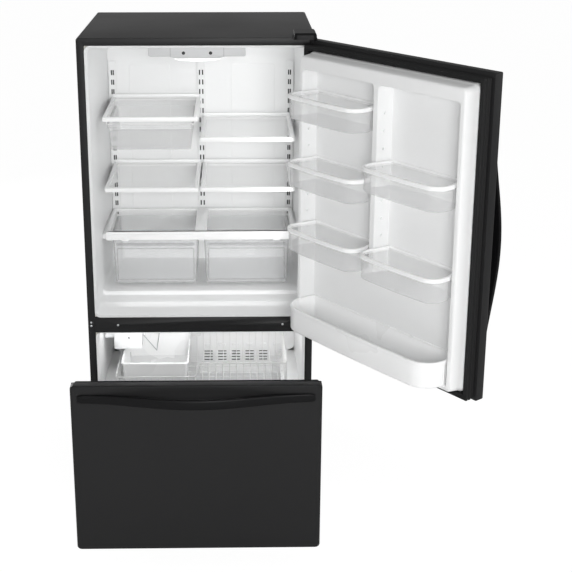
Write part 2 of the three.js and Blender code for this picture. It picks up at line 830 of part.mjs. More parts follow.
function makeDeliDrawer() {
  const top = slotRow(deliRow) + shelfRise - frameHeight - deliDrop + 2 + fit;
  const [x0, x1] = [deliSpan[0] + 2 + fit, deliSpan[1] - 2 - fit];
  const inner = rimFlange + 1;
  const bottom = top - deliHeight;
  const [y0, y1] = [deliFront, deliBack];
  const body = tube(
    "z",
    [bottom, x0 + inner + 6, x1 - inner - 6, y0 + 4, y1 - 6, 8],
    [top + 2, x0 + inner, x1 - inner, y0, y1, 8],
  );
  const hollow = tube(
    "z",
    [bottom + tubWall, x0 + inner + 6 + tubWall, x1 - inner - 6 - tubWall, y0 + 7, y1 - 9, 6],
    [top + 3, x0 + inner + tubWall, x1 - inner - tubWall, y0 + 3, y1 - 3, 6],
  );
  const flanges = [
    block(x0, x0 + inner + 1, y0 + 26, y1 - 4, top, top + 2),
    block(x1 - inner - 1, x1, y0 + 26, y1 - 4, top, top + 2),
  ];
  const pull = block(x0 + 4, x1 - 4, y0 - 2, y0 + 3, top - 10, top + 2);
  return cut(join(body, ...flanges, pull), hollow);
}

// ---- crispers ----

function makeCrisperCover() {
  const back = coverBack;
  const top = coverTop;
  const frame = block(-coverHalf, coverHalf, coverFront, back, top - coverFrame, top);
  const rail = block(-coverHalf, coverHalf, coverFront, coverFront + 10, top - coverRail, top);
  const windows = crisperWindows(coverFrame + 4).map((span) => block(...span, 0, top + 1));
  const seats = crisperWindows(coverFrame - 2).map((span) =>
    block(...span, top - 1 - glassThickness - fit, top + 1),
  );
  const under = top - coverFrame;
  const shelf = crisperRimZ - fit;
  const [y0, y1] = [coverFront + 10, back];
  const webX = coverHalf - 13;
  const side = [
    pair(webX, webX + 3, y0, y1, shelf - 3, under + 1),
    pair(webX - rimFlange, webX + 3, y0, y1, shelf - 3, shelf),
  ];
  const middle = [
    block(-2, 2, y0, y1, shelf - 3, under + 1),
    block(-2 - rimFlange, 2 + rimFlange, y0, y1, shelf - 3, shelf),
  ];
  const slots = [-1, 1].map((sign) => {
    const x = sign * (coverHalf - 82);
    return block(x - 30, x + 30, coverFront - 1, coverFront + 11, top - coverRail + 6, top - coverRail + 12);
  });
  return cut(join(cut(join(frame, rail), ...windows), ...side, ...middle), ...seats, ...slots);
}

// The two windows of the cover, as spans in x and y.
function crisperWindows(inset) {
  const bar = coverBar / 2 + inset - coverFrame;
  const [y0, y1] = [coverFront + inset + 4, coverBack - inset];
  return [
    [-coverHalf + inset, -bar, y0, y1],
    [bar, coverHalf - inset, y0, y1],
  ];
}

function makeCrisperGlass(index) {
  const span = crisperWindows(coverFrame - 2 + fit)[index];
  return block(...span, coverTop - 1 - glassThickness, coverTop - 1);
}

// Span of one crisper's rim between its runner webs.
function crisperSpan(sign) {
  const outer = coverHalf - 13 - fit;
  return sign < 0 ? [-outer, -2 - fit] : [2 + fit, outer];
}

function makeCrisper(sign) {
  const [x0, x1] = crisperSpan(sign);
  const inner = rimFlange + 1;
  const top = crisperRimZ + 2;
  const section = (z, inset, step) => [
    z,
    x0 + inner + inset + step,
    x1 - inner - inset - step,
    crisperFront + step + inset * 0.5,
    crisperBack - step - inset,
    12 - step,
  ];
  const body = tube("z", section(crisperBottom, 8, 0), section(top, 0, 0));
  const hollow = tube("z", section(crisperBottom + tubWall, 8, tubWall), section(top + 1, 0, tubWall));
  const flanges = [
    block(x0, x0 + inner + 1, crisperFront + 14, crisperBack - 8, crisperRimZ, top),
    block(x1 - inner - 1, x1, crisperFront + 14, crisperBack - 8, crisperRimZ, top),
  ];
  const middle = (x0 + x1) / 2;
  const scoopRadius = 620;
  const scoop = rod(
    scoopRadius,
    [middle, crisperFront - 5, top + scoopRadius - crisperScoop],
    [middle, crisperFront + 9, top + scoopRadius - crisperScoop],
    120,
  );
  const [u0, u1] = [x0 + inner + 12, x1 - inner - 12];
  const lip = block(u0, u1, crisperFront - 5, crisperFront + 3, top - crisperScoop - 12, top - crisperScoop);
  return cut(join(body, ...flanges, lip), scoop, hollow);
}

function makeHumiditySlide(sign) {
  const x = sign * (coverHalf - 72);
  const z0 = coverTop - coverRail + 6 + fit;
  const z1 = coverTop - coverRail + 12 - fit;
  const knob = block(x - 13, x + 13, coverFront - 6, coverFront - fit, z0 - 8, z1 + 2);
  const stem = block(x - 8, x + 8, coverFront - 3, coverFront + 12, z0, z1);
  const keeper = block(x - 13, x + 13, coverFront + 10 + fit, coverFront + 12, z0 - 3, z1 + 3);
  return join(knob, stem, keeper);
}

// ---- light and controls ----

function makeControlHousing() {
  const top = freshCeiling - fit;
  const bottom = freshCeiling - housingDrop;
  const face = new THREE.Shape();
  face.moveTo(-housingHalf, top);
  face.lineTo(-housingHalf, bottom + housingBow);
  bow(face, [-housingHalf, bottom + housingBow], [housingHalf, bottom + housingBow], -housingBow, 14);
  face.lineTo(housingHalf, top);
  const body = alongY(face, housingFront, housingBack);
  const [seam0, front] = [housingSeam - 1, housingFront - 1];
  const seams = pair(seam0, seam0 + 2, front, front + 2.5, bottom - 1, top + 1);
  const recesses = [-buttonSpacing / 2, buttonSpacing / 2].map((x) =>
    rod(6, [x, front, bottom + 17], [x, front + 6, bottom + 17], 12),
  );
  const opening0 = block(
    -lensHalf - fit,
    lensHalf + fit,
    housingFront + 16,
    housingBack - 60,
    bottom - 20,
    bottom + 12,
  );
  return cut(body, seams, ...recesses, opening0);
}

function makeLightLens() {
  const seat = freshCeiling - housingDrop + 12 - fit;
  const bulge = new THREE.Shape();
  bulge.moveTo(-lensHalf, seat);
  bulge.lineTo(-lensHalf, seat - 11);
  bow(bulge, [-lensHalf, seat - 11], [lensHalf, seat - 11], 8 - lensDrop, 14);
  bulge.lineTo(lensHalf, seat);
  return alongY(bulge, housingFront + 16 + fit, housingBack - 60 - fit);
}

// ---- door ----

// A front panel pressed from sheet, open at the back, with rounded front edges.
function makeSkin(bottom, top, lowerCorner) {
  const at = (y, inset, r) => [y, -half + inset, half - inset, bottom + inset, top - inset, r];
  const back = -doorFace + skinDepth;
  const outer = tube(
    "y",
    at(-doorFace, edgeRound, lowerCorner),
    at(-doorFace + 1.5, edgeRound * 0.35, lowerCorner),
    at(-doorFace + edgeRound, 0, lowerCorner),
    at(back, 0, lowerCorner),
  );
  const inner = tube(
    "y",
    at(-doorFace + skinWall, edgeRound + skinWall, lowerCorner),
    at(-doorFace + edgeRound, skinWall, lowerCorner),
    at(back - skinWall, skinWall, lowerCorner),
  );
  const mouth = block(-half + 16, half - 16, back - 2, back + 1, bottom + 16, top - 16);
  return cut(outer, inner, mouth);
}

// The rubber seal behind a front panel: ribbed outside, with its face on the flange.
function makeGasket(bottom, top) {
  const x = half - gasketInset;
  const z0 = bottom + gasketInset - 2;
  const z1 = top - gasketTopInset + 4;
  const root = -doorFace + skinDepth + fit + reliefWall + fit;
  const ribs = [
    [root, 2],
    [root + 7, 2],
    [root + 9, 5],
    [root + 12, 5],
    [root + 14, 0],
    [root + 20, 0],
    [root + 22, 4],
    [root + 25, 4],
    [root + 27, 0],
    [-0.8, 2],
  ];
  const outer = tube("y", ...ribs.map(([y, s]) => [y, -x + s, x - s, z0 + s, z1 - s, 4]));
  const [u, v0, v1] = [x - gasketWidth, z0 + gasketWidth, z1 - gasketWidth];
  return cut(outer, block(-u, u, root - 1, 1, v0, v1));
}

// The raised back of the door: dykes round the edge and down the middle, pockets between them.
function doorRelief(inset) {
  const edge = half - gasketInset - gasketWidth - fit;
  const z0 = doorBottom + gasketInset - 2 + gasketWidth + fit;
  const z1 = doorTop - gasketTopInset + 4 - gasketWidth - fit;
  const seat = -doorFace + skinDepth + (inset ? -2 : fit);
  const i = inset;
  const raised = tube(
    "y",
    [seat, -edge + i, edge - i, z0 + i, z1 - i, 10],
    [-8, -edge + i, edge - i, z0 + i, z1 - i, 10],
    [0, -edge + 6.6 + i, edge - 6.6 - i, z0 + 3 + i, z1 - 4 - i, 10],
    [dykeRim - 6 - i, -edge + 11.5 + i, edge - 11.5 - i, z0 + 8 + i, z1 - 14 - i, 10],
    [dykeRim - i, -edge + 17 + i, edge - 17 - i, z0 + 14 + i, z1 - 20 - i, 10],
  );
  const pockets = [
    [dividerWidth / 2, pocketOuter, dividerBottom - 60, pocketTop, 16],
    [-pocketOuter, -dividerWidth / 2, dividerBottom - 60, pocketTop, 16],
    [-pocketOuter, pocketOuter, pocketBottom, dividerBottom, 2],
  ].map(([x0, x1, z2, z3, corner]) => {
    const step = pocketDraft;
    return tube(
      "y",
      [pocketFloor - i, x0 + step - i, x1 - step + i, z2 - i, z3 - 12 + i, corner],
      [dykeRim + 1, x0 - i, x1 + i, z2 - i, z3 + i, corner],
    );
  });
  return cut(raised, ...pockets);
}

const columnCentre = (dividerWidth / 2 + pocketOuter) / 2;
const columnHalf = (pocketOuter - dividerWidth / 2) / 2;

// Buttons in rows on the side walls of both columns; the bins' rims rest on them.
function binButtons() {
  const buttons = [];
  for (let row = 0; row < binRows; row++)
    for (const column of [-1, 1])
      for (const sign of [-1, 1]) {
        const wall = column * columnCentre + sign * (columnHalf + 1);
        const z = binSeat(row) - fit - binButton;
        buttons.push(rod(binButton, [wall, 16, z], [wall - sign * 11, 16, z], 6));
      }
  return buttons;
}

function makeDoorLiner() {
  const back = -doorFace + skinDepth + fit;
  const x = half - 14;
  const plate = block(-x, x, back, back + reliefWall, doorBottom + 10, doorTop - 18);
  const hollow = doorRelief(reliefWall);
  return cut(join(plate, doorRelief(0), ...binButtons()), hollow);
}

function makeDoorFoam() {
  const i = skinWall + fit;
  const back = -doorFace + skinDepth - skinWall - fit;
  const at = (y, inset) => [
    y,
    -half + inset,
    half - inset,
    doorBottom + inset,
    doorTop - inset,
    3,
  ];
  const slab = tube(
    "y",
    at(-doorFace + i, edgeRound + i + 1),
    at(-doorFace + edgeRound + 1, i + 0.5),
    at(back, i + 0.5),
  );
  return join(slab, doorRelief(reliefWall + fit));
}

// Plan of a bin or trough: narrow between the walls of its pocket, wider in front of them.
function binPlan({ centre, rear, waist, wide, straight, corner }, grow) {
  const g = grow;
  const back = pocketFloor + fit;
  const [neck, shoulder] = [dykeRim + 2, dykeRim + binShoulder];
  const nose = shoulder + straight + corner + g;
  const r = corner + g;
  const shape = new THREE.Shape();
  shape.moveTo(centre - rear - g, back);
  shape.lineTo(centre - waist - g, neck);
  shape.lineTo(centre - wide - g, shoulder);
  shape.lineTo(centre - wide - g, nose - r);
  shape.absarc(centre - wide - g + r, nose - r, r, Math.PI, Math.PI / 2, true);
  bow(shape, [centre - wide - g + r, nose], [centre + wide + g - r, nose], binBow);
  shape.absarc(centre + wide + g - r, nose - r, r, Math.PI / 2, 0, true);
  shape.lineTo(centre + wide + g, shoulder);
  shape.lineTo(centre + waist + g, neck);
  shape.lineTo(centre + rear + g, back);
  return shape;
}

// A tub with a thick rim band, cut from one plan.
function makeTub(plan, bottom, top, rimHeight, lip, wall) {
  const body = alongZ(plan(0), bottom, top, arcSteps);
  const band = alongZ(plan(lip), top - rimHeight, top, arcSteps);
  const inside = plan(-wall);
  const back = block(-half, half, -half, pocketFloor + fit + wall, bottom - 1, top + 1);
  const hollow = cut(alongZ(inside, bottom + wall, top + 1, arcSteps), back);
  return cut(join(body, band), hollow);
}

function makeDoorBin(column, row) {
  const centre = column * columnCentre;
  const top = binSeat(row) + binRim;
  const size = {
    centre,
    rear: columnHalf - pocketDraft - 9,
    waist: columnHalf - 9,
    wide: columnHalf - 3,
    straight: binStraight,
    corner: binCorner,
  };
  const plan = (grow) => binPlan(size, grow);
  return makeTub(plan, top - binHeight, top, binRim, binRimLip, tubWall);
}

function makeTrough() {
  const size = {
    centre: 0,
    rear: pocketOuter - pocketDraft - 7,
    waist: pocketOuter - 7,
    wide: pocketOuter - 6,
    straight: troughStraight,
    corner: troughCorner,
  };
  const plan = (grow) => binPlan(size, grow);
  return makeTub(plan, pocketBottom + fit, troughTop, troughRim, troughRimLip, tubWall);
}

// A bar that rises from the panel's face in a long bow. Stations run along its length.
function makeHandle(axis, centre, middle, length) {
  const stations = 17;
  const sections = Array.from({ length: stations }, (_, i) => {
    const t = (i / (stations - 1)) * 2 - 1;
    const height = handleRoot + handleBow * Math.cos((t * Math.PI) / 2) ** 2;
    const under = Math.max(fit, height - handleThickness);
    const w = (handleWidth / 2) * (1 - 0.18 * t * t);
    const outer = -doorFace - height;
    const inner = -doorFace - under;
    const soft = Math.min(4, (inner - outer) / 3);
    const points = [
      [inner, centre - w],
      [inner, centre + w],
      [outer + soft, centre + w],
      [outer, centre + w - soft * 1.5],
      [outer, centre - w + soft * 1.5],
      [outer + soft, centre - w],
    ];
    const at = middle + (t * length) / 2;
    return { at, points: axis === "x" ? points : points.map(([u, v]) => [v, u]) };
  });
  return loft(axis, axis === "x" ? sections.map((s) => ({ ...s, points: [...s.points].reverse() })) : sections);
}

// ---- hinges ----

function hingeOutline(x0, back) {
  const r = pinRadius + 9;
  const shape = new THREE.Shape();
  shape.moveTo(x0, back);
  shape.lineTo(x0, -hingeSetout + 6);
  shape.lineTo(hingeX - 20, -hingeSetout - r);
  shape.lineTo(hingeX, -hingeSetout - r);
  shape.absarc(hingeX, -hingeSetout, r, -Math.PI / 2, 0, false);
  shape.lineTo(hingeX + r, back);
  return shape;
}

function makeTopHinge() {
  const z = cabinetTop + fit;
  const plate = alongZ(hingeOutline(hingeX - 62, coverDepth - 6), z, z + hingePlate);
  const pin = rod(pinRadius, [hingeX, -hingeSetout, doorTop - pinLength], [hingeX, -hingeSetout, z + 1], 12);
  const screws = [
    [hingeX - 48, coverDepth - 44],
    [hingeX - 8, coverDepth - 44],
    [hingeX - 28, coverDepth - 22],
  ].map(([x, y]) => rod(6, [x, y, z + 1], [x, y, z + hingePlate + 3], 8));
  return join(plate, pin, ...screws);
}

function makeHingeCover() {
  const z = cabinetTop + fit;
  const shape = (grow) =>
    rounded(hingeX - 66 - grow, hingeX + 12 + grow, -hingeSetout - 17 - grow, coverDepth + grow, 9);
  const outer = alongZ(shape(0), z, z + coverHeight - 5);
  const cap = alongZ(shape(-3), z + coverHeight - 6, z + coverHeight);
  const hollow = alongZ(rounded(hingeX - 63.5, hingeX + 14.4, -hingeSetout - 14.6, coverDepth - 2.5, 2), z - 1, z + 12);
  const wall = block(hingeX + 14.4, hingeX + 20, -99, 99, z - 1, z + 30);
  return cut(join(outer, cap), hollow, wall);
}

function makeCentreHinge() {
  const gap = (doorBottom + drawerTop) / 2;
  const arm = alongZ(hingeOutline(hingeX - 60, -4), gap - hingePlate / 2, gap + hingePlate / 2);
  const pin = rod(pinRadius, [hingeX, -hingeSetout, gap], [hingeX, -hingeSetout, doorBottom + pinLength], 12);
  const foot = block(hingeX - 74, hingeX - 24, -4, -1.5 - fit, gap - 2, gap + 8);
  const lug = block(hingeX - 74, hingeX - 62, -4, -fit, gap - 2, gap + 8);
  return join(arm, pin, foot, lug);
}

// Round sockets in the door for the hinge pins.
function hingeSockets() {
  const r = pinRadius + fit;
  return [
    rod(r, [hingeX, -hingeSetout, doorTop - pinLength - 2], [hingeX, -hingeSetout, doorTop + 1], 12),
    rod(r, [hingeX, -hingeSetout, doorBottom - 1], [hingeX, -hingeSetout, doorBottom + pinLength + 2], 12),
  ];
}

// ---- freezer drawer ----

function makeDrawerLiner() {
  const back = -doorFace + skinDepth + fit;
  const x = half - 14;
  const plate = block(-x, x, back, back + reliefWall, drawerBottom + 10, drawerTop - 18);
  const edge = half - gasketInset - gasketWidth - fit;
  const z0 = drawerBottom + gasketInset - 2 + gasketWidth + fit;
  const z1 = drawerTop - gasketTopInset + 4 - gasketWidth - fit;
  const relief = (i) =>
    tube(
      "y",
      [back - (i ? 1 : 0), -edge + i, edge - i, z0 + i, z1 - i, 10],
      [-10 - i, -edge + i, edge - i, z0 + i, z1 - i, 10],
      [-drawerRelief - i, -edge + 7 + i, edge - 7 - i, z0 + 7 + i, z1 - 7 - i, 10],
    );
  const dish = tube(
    "y",
    [-14, -edge + 40, edge - 40, z0 + 40, z1 - 40, 14],
    [0, -edge + 30, edge - 30, z0 + 30, z1 - 30, 14],
  );
  const dishBack = tube(
    "y",
    [-14 - reliefWall, -edge + 37, edge - 37, z0 + 37, z1 - 37, 14],
    [0, -edge + 27, edge - 27, z0 + 27, z1 - 27, 14],
  );
  const hollow = cut(relief(reliefWall), dishBack);
  return cut(join(plate, relief(0)), hollow, dish);
}

// Span of the slide parts, from the wall inwards.
const railOuter = railBoss - fit;
const railInner = railOuter - runnerWidth - 3;

function makeSlideRail(sign) {
  const z1 = railBottom + railHeight;
  const [y0, y1] = [railFront, railBack];
  const side = (x0, x1) => (sign < 0 ? [-x1, -x0] : [x0, x1]);
  return join(
    block(...side(railOuter - 2, railOuter), y0, y1, railBottom, z1),
    block(...side(railInner + 2, railOuter), y0, y1, railBottom, railBottom + 2),
    block(...side(railInner + 2, railOuter), y0, y1, z1 - 2, z1),
  );
}

function makeDrawerFrame() {
  const z0 = railBottom + 2 + fit;
  const z1 = railBottom + railHeight - 2 - fit;
  const outer = railOuter - 2 - fit;
  const inner = outer - runnerWidth;
  const mount = -drawerRelief + fit;
  const y1 = railBack + runnerOverrun;
  const runners = cut(
    pair(inner, outer, mount, y1, z0, z1),
    pair(inner + 3, outer + 1, 2, y1 + 1, z0 + 3, z1 - 3),
  );
  const lips = pair(inner - rimFlange, inner + 1, 4, wellDepth - 6, z1 - 10, z1 - 7.5);
  const tieFront = freezerBinBack + 6;
  const tie = block(-inner - 1, inner + 1, tieFront, tieFront + 14, z1 - 8, z1 - 4);
  const ears = pair(inner - 14, outer + 10, mount, mount + 3, z0 - 30, z1 + 6);
  return join(runners, lips, tie, ears);
}

function makeFreezerBin() {
  const outer = railOuter - 2 - fit - runnerWidth;
  const seat = railBottom + railHeight - 2 - fit - 7.5 + fit;
  const lipInner = outer - fit;
  const wallX = outer - rimFlange - 1.5;
  const [y0, y1] = [freezerBinFront, freezerBinBack];
  const freezerBinBottom = freezerOpeningBottom + freezerBinLift;
  const at = (z, inset, step) => [
    z,
    -wallX + inset + step,
    wallX - inset - step,
    y0 + inset + step,
    y1 - inset - step,
    22 - step,
  ];
  const body = tube("z", at(freezerBinBottom, 9, 0), at(seat + 3, 0, 0));
  const hollow = tube("z", at(freezerBinBottom + tubWall, 9, tubWall), at(seat + 4, 0, tubWall));
  const flanges = pair(wallX - 2, lipInner, y0 + 10, y1 - 14, seat, seat + 3);
  return cut(join(body, flanges), hollow);
}

// ---- freezer fittings ----

// The outline of a wire bent in a plane: the path, widened evenly with mitred corners.
function bentWire(path, gauge = wire) {
  const points = path.map(([u, v]) => new THREE.Vector2(u, v));
  const normals = points.slice(1).map((point, i) => {
    const along = point.clone().sub(points[i]).normalize();
    return new THREE.Vector2(-along.y, along.x);
  });
  const offsets = points.map((_, i) => {
    const before = normals[Math.max(i - 1, 0)];
    const after = normals[Math.min(i, normals.length - 1)];
    const scale = gauge / 2 / (1 + before.dot(after));
    return before.clone().add(after).multiplyScalar(scale);
  });
  const left = points.map((point, i) => point.clone().add(offsets[i]));
  const right = points.map((point, i) => point.clone().sub(offsets[i]));
  return new THREE.Shape([...left, ...right.reverse()]);
}

function makeWireBasket() {
  const [y0, y1, z] = [basketFront, basketBack, basketFloor];
  const [w, thin] = [wire / 2, wire * 0.42];
  const count = 11;
  const lengthwise = Array.from({ length: count }, (_, i) => {
    const x = -basketHalf + (2 * basketHalf * i) / (count - 1);
    const top = x < basketSplit ? basketLow : basketHigh;
    return alongX(bentWire([[y0, top], [y0, z], [y1, z], [y1, top]]), x - w, x + w);
  });
  const across = [0.25, 0.5, 0.75].map((part) => {
    const y = y0 + (y1 - y0) * part;
    const side = basketHalf - wire * 0.6;
    const over = z + wire * 0.6;
    const path = [[-side, basketLow], [-side, over], [side, over], [side, basketHigh]];
    return alongY(bentWire(path), y - thin, y + thin);
  });
  const heavy = wire + 1;
  const stepped = [
    [-basketHalf - 2.7, basketLow],
    [basketSplit, basketLow],
    [basketSplit, basketHigh],
    [basketHalf + 2.7, basketHigh],
  ];
  const rails = [y0, y1].map((y) =>
    alongY(bentWire(stepped, heavy), y - heavy / 2, y + heavy / 2),
  );
  const sides = [
    [-basketHalf, basketLow],
    [basketHalf, basketHigh],
  ].map(([x, top]) => {
    const [e, g] = [heavy / 2 - 0.4, heavy / 2];
    return block(x - g + 0.2, x + g - 0.2, y0 - e, y1 + e, top - e, top + e);
  });
  return join(...lengthwise, ...across, ...rails, ...sides);
}

function makeIceBin() {
  const [x0, x1] = [iceBinLeft, iceBinLeft + iceBinWidth];
  const floor = iceBinFloor;
  const at = (z, inset, step) => [
    z,
    x0 + inset + step,
    x1 - inset - step,
    iceBinFront + inset + step,
    iceBinBack - inset - step,
    14 - step,
  ];
  const body = tube("z", at(floor, 8, 0), at(iceBinTop, 0, 0));
  const band = tube("z", at(iceBinTop - 8, -3, 0), at(iceBinTop, -3, 0));
  const hollow = tube("z", at(floor + tubWall, 8, tubWall), at(iceBinTop + 1, 0, tubWall));
  return cut(join(body, band), hollow);
}

const armPivot = { x: iceMakerRight + 5, z: armZ };

function makeIceMaker() {
  const [y0, y1] = [iceMakerFront, iceMakerFront + iceMakerLength];
  const [x0, x1, z] = [iceMakerLeft, iceMakerRight, armPivot.z];
  const top = freezerRoof(y0 + 180) - fit;
  const wall = freezerWall(y1) - fit;
  const shell = block(x0, x1, y0, y0 + 60, z - 53, top - 4);
  const mould = block(x0 + 5, x1 - 6, y0 + 55, y1, z - 46, z + 16);
  const bracket = block(-wall, x0 + 11, y0 + 20, y1, z - 14, z + 22);
  const post = block(x0 + 5, x0 + 75, y0 + 100, y0 + 180, z + 11, top);
  const button = rod(3.5, [x0 + 56, y0 - 1, z - 8], [x0 + 56, y0 + 2, z - 8], 10);
  const ears = [y0 + 20, y0 + 200].map((y) =>
    block(x1 - 12, armPivot.x + 7, y, y + 6, z - 7, z + 7),
  );
  const bores = [y0 + 18, y0 + 198].map((y) =>
    rod(armWire + fit, [armPivot.x, y, z], [armPivot.x, y + 10, z], 8),
  );
  return cut(join(shell, mould, bracket, post, ...ears), button, ...bores);
}

// A wire bail that turns in two ears on the ice maker and senses the level of the ice.
function makeIceArm() {
  const { x, z } = armPivot;
  const [y0, y1] = [iceMakerFront + 16, iceMakerFront + 210];
  const low = [x + armReach, z - armDrop];
  const bar = (from, to) => rod(armWire, from, to, 6);
  const leg = (y) => [bar([x, y, z + 1], [x, y, z - 4]), bar([x, y, z - 2], [low[0], y, low[1]])];
  return join(
    bar([x, y0 - 1, z], [x, y0 + 12, z]),
    bar([x, y1 + 1, z], [x, y1 - 14, z]),
    ...leg(y0),
    ...leg(y1),
    bar([low[0], y0 - 1, low[1]], [low[0], y1 + 1, low[1]]),
  );
}

function makeEvaporatorCover() {
  const side = railInner - 8;
  const wall = freezerWall(coverPlane + 3) - fit;
  const top = freezerRoof(coverPlane + 3) - fit;
  const [y0, y1] = [coverPlane, coverPlane + 3];
  const lower = block(-side, side, y0, y1, wellShelf + fit, ledgeTop + 2);
  const upper = rounded(-wall, wall, ledgeTop + 1, top, freshCorner + 6);
  const plate = join(lower, alongY(upper, y0, y1));
  const slots = [];
  for (let group = 0; group < ventGroups; group++)
    for (let row = 0; row < ventRows; row++) {
      const x = firstVent + ventPitch * group;
      const z = wellShelf + 9 + ventRowPitch * row;
      const [u0, u1] = [x - ventWidth / 2, x + ventWidth / 2];
      slots.push(block(u0, u1, coverPlane - 1, coverPlane + 4, z, z + 5));
    }
  const pads = Array.from({ length: ventGroups + 1 }, (_, i) => {
    const x = firstVent + ventPitch * i;
    return block(x - 15, x + 15, coverPlane - 3, coverPlane + 1, wellShelf + 71, wellShelf + 85);
  });
  const back = freezerDepth - fit;
  const brace = top - 14;
  const legs = pair(side - 3, side, coverPlane + 1, back, wellShelf + 12, brace + 3);
  const bridge = block(-side, side, coverPlane + 1, back, brace, brace + 3);
  return join(cut(plate, join(...slots)), ...pads, legs, bridge);
}

// ---- assembly ----

piece("outer_wrapper", makeOuterWrapper(), "blackSteel");
piece("back_panel", makeBackPanel(), "blackSteel");
piece("cabinet_foam", makeCabinetFoam(), "foam");
piece("fresh_liner", makeFreshLiner(), "whitePlastic");
piece("freezer_liner", makeFreezerLiner(), "whitePlastic");
piece("mullion_cover", makeMullionCover(), "blackSteel");

piece("shelf_track_left", makeShelfTrack(-sideTrack), "whitePlastic");
piece("shelf_track_centre", makeShelfTrack(0, slotSpacing), "whitePlastic");
piece("shelf_track_right", makeShelfTrack(sideTrack), "whitePlastic");

const shelves = [
  { name: "upper_left", side: -1, row: deliRow },
  { name: "upper_right", side: 1, row: rowAt(5 / 16) },
  { name: "lower_left", side: -1, row: rowAt(10 / 16) },
  { name: "lower_right", side: 1, row: rowAt(10 / 16) },
];
for (const { name, side, row } of shelves) {
  const frame = makeShelfFrame(side, row);
  const carried = row === deliRow ? join(frame, ...makeDeliRunners()) : frame;
  piece(`shelf_frame_${name}`, carried, "whitePlastic");
  piece(`shelf_glass_${name}`, makeShelfGlass(side, row), "glass");
}
piece("deli_drawer", makeDeliDrawer(), "clearPlastic");

piece("crisper_frame", makeCrisperCover(), "whitePlastic");
for (const [index, sign, name] of [
  [0, -1, "left"],
  [1, 1, "right"],
]) {
  piece(`crisper_glass_${name}`, makeCrisperGlass(index), "glass");
  piece(`crisper_${name}`, makeCrisper(sign), "clearPlastic");
  piece(`humidity_slide_${name}`, makeHumiditySlide(sign), "whitePlastic");
}

piece("control_housing", makeControlHousing(), "greyPlastic");
piece("light_lens", makeLightLens(), "whitePlastic");

piece("base_frame", makeBaseFrame(), "zincSteel");
piece("levelling_leg_left", makeLevellingLeg(-1), "zincSteel");
piece("levelling_leg_right", makeLevellingLeg(1), "zincSteel");
piece("rear_rollers", makeRearRollers(), "blackPlastic");
piece("compressor", makeCompressor(), "castBlack");
piece("rear_cover", makeRearCover(), "blackSteel");

piece("top_hinge", makeTopHinge(), "blackSteel");
piece("hinge_cover", makeHingeCover(), "blackPlastic");
piece("centre_hinge", makeCentreHinge(), "blackSteel");

const sockets = hingeSockets();
piece("door_skin", cut(makeSkin(doorBottom, doorTop, 4), ...sockets), "blackSteel", door);
piece("door_foam", cut(makeDoorFoam(), ...sockets), "foam", door);
piece("door_liner", cut(makeDoorLiner(), ...sockets), "whitePlastic", door);
piece(
  "door_gasket",
  cut(makeGasket(doorBottom, doorTop), ...sockets),
  "gasketRubber",
  door,
);
piece(
  "door_handle",
  makeHandle("z", doorHandleInset - half, doorBottom + doorHandleRise, doorHandleLength),
  "blackPlastic",
  door,
);
const lastBinRow = binRows - 1;
const bins = [
  { name: "hinge_side_upper", column: 1, row: 0 },
  { name: "hinge_side_middle", column: 1, row: Math.round(lastBinRow * 0.5) },
  { name: "hinge_side_lower", column: 1, row: lastBinRow },
  { name: "free_side_upper", column: -1, row: Math.round(lastBinRow * 0.375) },
  { name: "free_side_lower", column: -1, row: lastBinRow },
];
for (const { name, column, row } of bins)
  piece(`door_bin_${name}`, makeDoorBin(column, row), "clearPlastic", door);
piece("door_trough", makeTrough(), "whitePlastic", door);

piece("drawer_skin", makeSkin(drawerBottom, drawerTop, 12), "blackSteel", drawer);
piece("drawer_liner", makeDrawerLiner(), "whitePlastic", drawer);
piece("drawer_gasket", makeGasket(drawerBottom, drawerTop), "gasketRubber", drawer);
piece(
  "drawer_handle",
  makeHandle("x", drawerTop - drawerHandleDrop, 0, 2 * (half - drawerHandleEnd)),
  "blackPlastic",
  drawer,
);
piece("drawer_frame", makeDrawerFrame(), "zincSteel", drawer);
piece("freezer_bin", makeFreezerBin(), "whitePlastic", drawer);
piece("slide_rail_left", makeSlideRail(-1), "zincSteel");
piece("slide_rail_right", makeSlideRail(1), "zincSteel");

piece("evaporator_cover", makeEvaporatorCover(), "whitePlastic");
piece("wire_basket", makeWireBasket(), "whiteWire");
piece("ice_bin", makeIceBin(), "whitePlastic");
piece("ice_maker", makeIceMaker(), "greyPlastic");
piece("ice_arm", makeIceArm(), "zincSteel");

// The origin lies under the middle of the whole, on the floor.
const box = new THREE.Box3().setFromObject(refrigerator, true);
const centre = box.getCenter(new THREE.Vector3());
refrigerator.position.set(-centre.x, -centre.y, -box.min.z);

const part = new THREE.Group();
part.add(refrigerator);

export default part;
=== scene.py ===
import bpy
import bmesh
import math
import numpy as np
from mathutils import Matrix, Vector


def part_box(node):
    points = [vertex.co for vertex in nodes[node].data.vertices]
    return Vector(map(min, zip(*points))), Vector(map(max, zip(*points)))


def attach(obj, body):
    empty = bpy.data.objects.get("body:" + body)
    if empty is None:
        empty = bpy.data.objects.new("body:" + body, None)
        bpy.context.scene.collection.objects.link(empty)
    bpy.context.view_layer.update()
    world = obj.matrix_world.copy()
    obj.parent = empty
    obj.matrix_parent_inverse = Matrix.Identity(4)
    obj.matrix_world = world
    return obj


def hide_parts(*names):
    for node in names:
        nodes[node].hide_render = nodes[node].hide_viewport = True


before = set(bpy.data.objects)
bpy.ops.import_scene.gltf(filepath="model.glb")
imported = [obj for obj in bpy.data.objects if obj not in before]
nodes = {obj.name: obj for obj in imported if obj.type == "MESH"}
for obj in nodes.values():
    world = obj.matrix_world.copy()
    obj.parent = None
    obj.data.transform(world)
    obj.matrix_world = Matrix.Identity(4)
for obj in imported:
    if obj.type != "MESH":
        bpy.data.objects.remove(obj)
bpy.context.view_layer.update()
print("frame loaded,", len(nodes), "nodes")

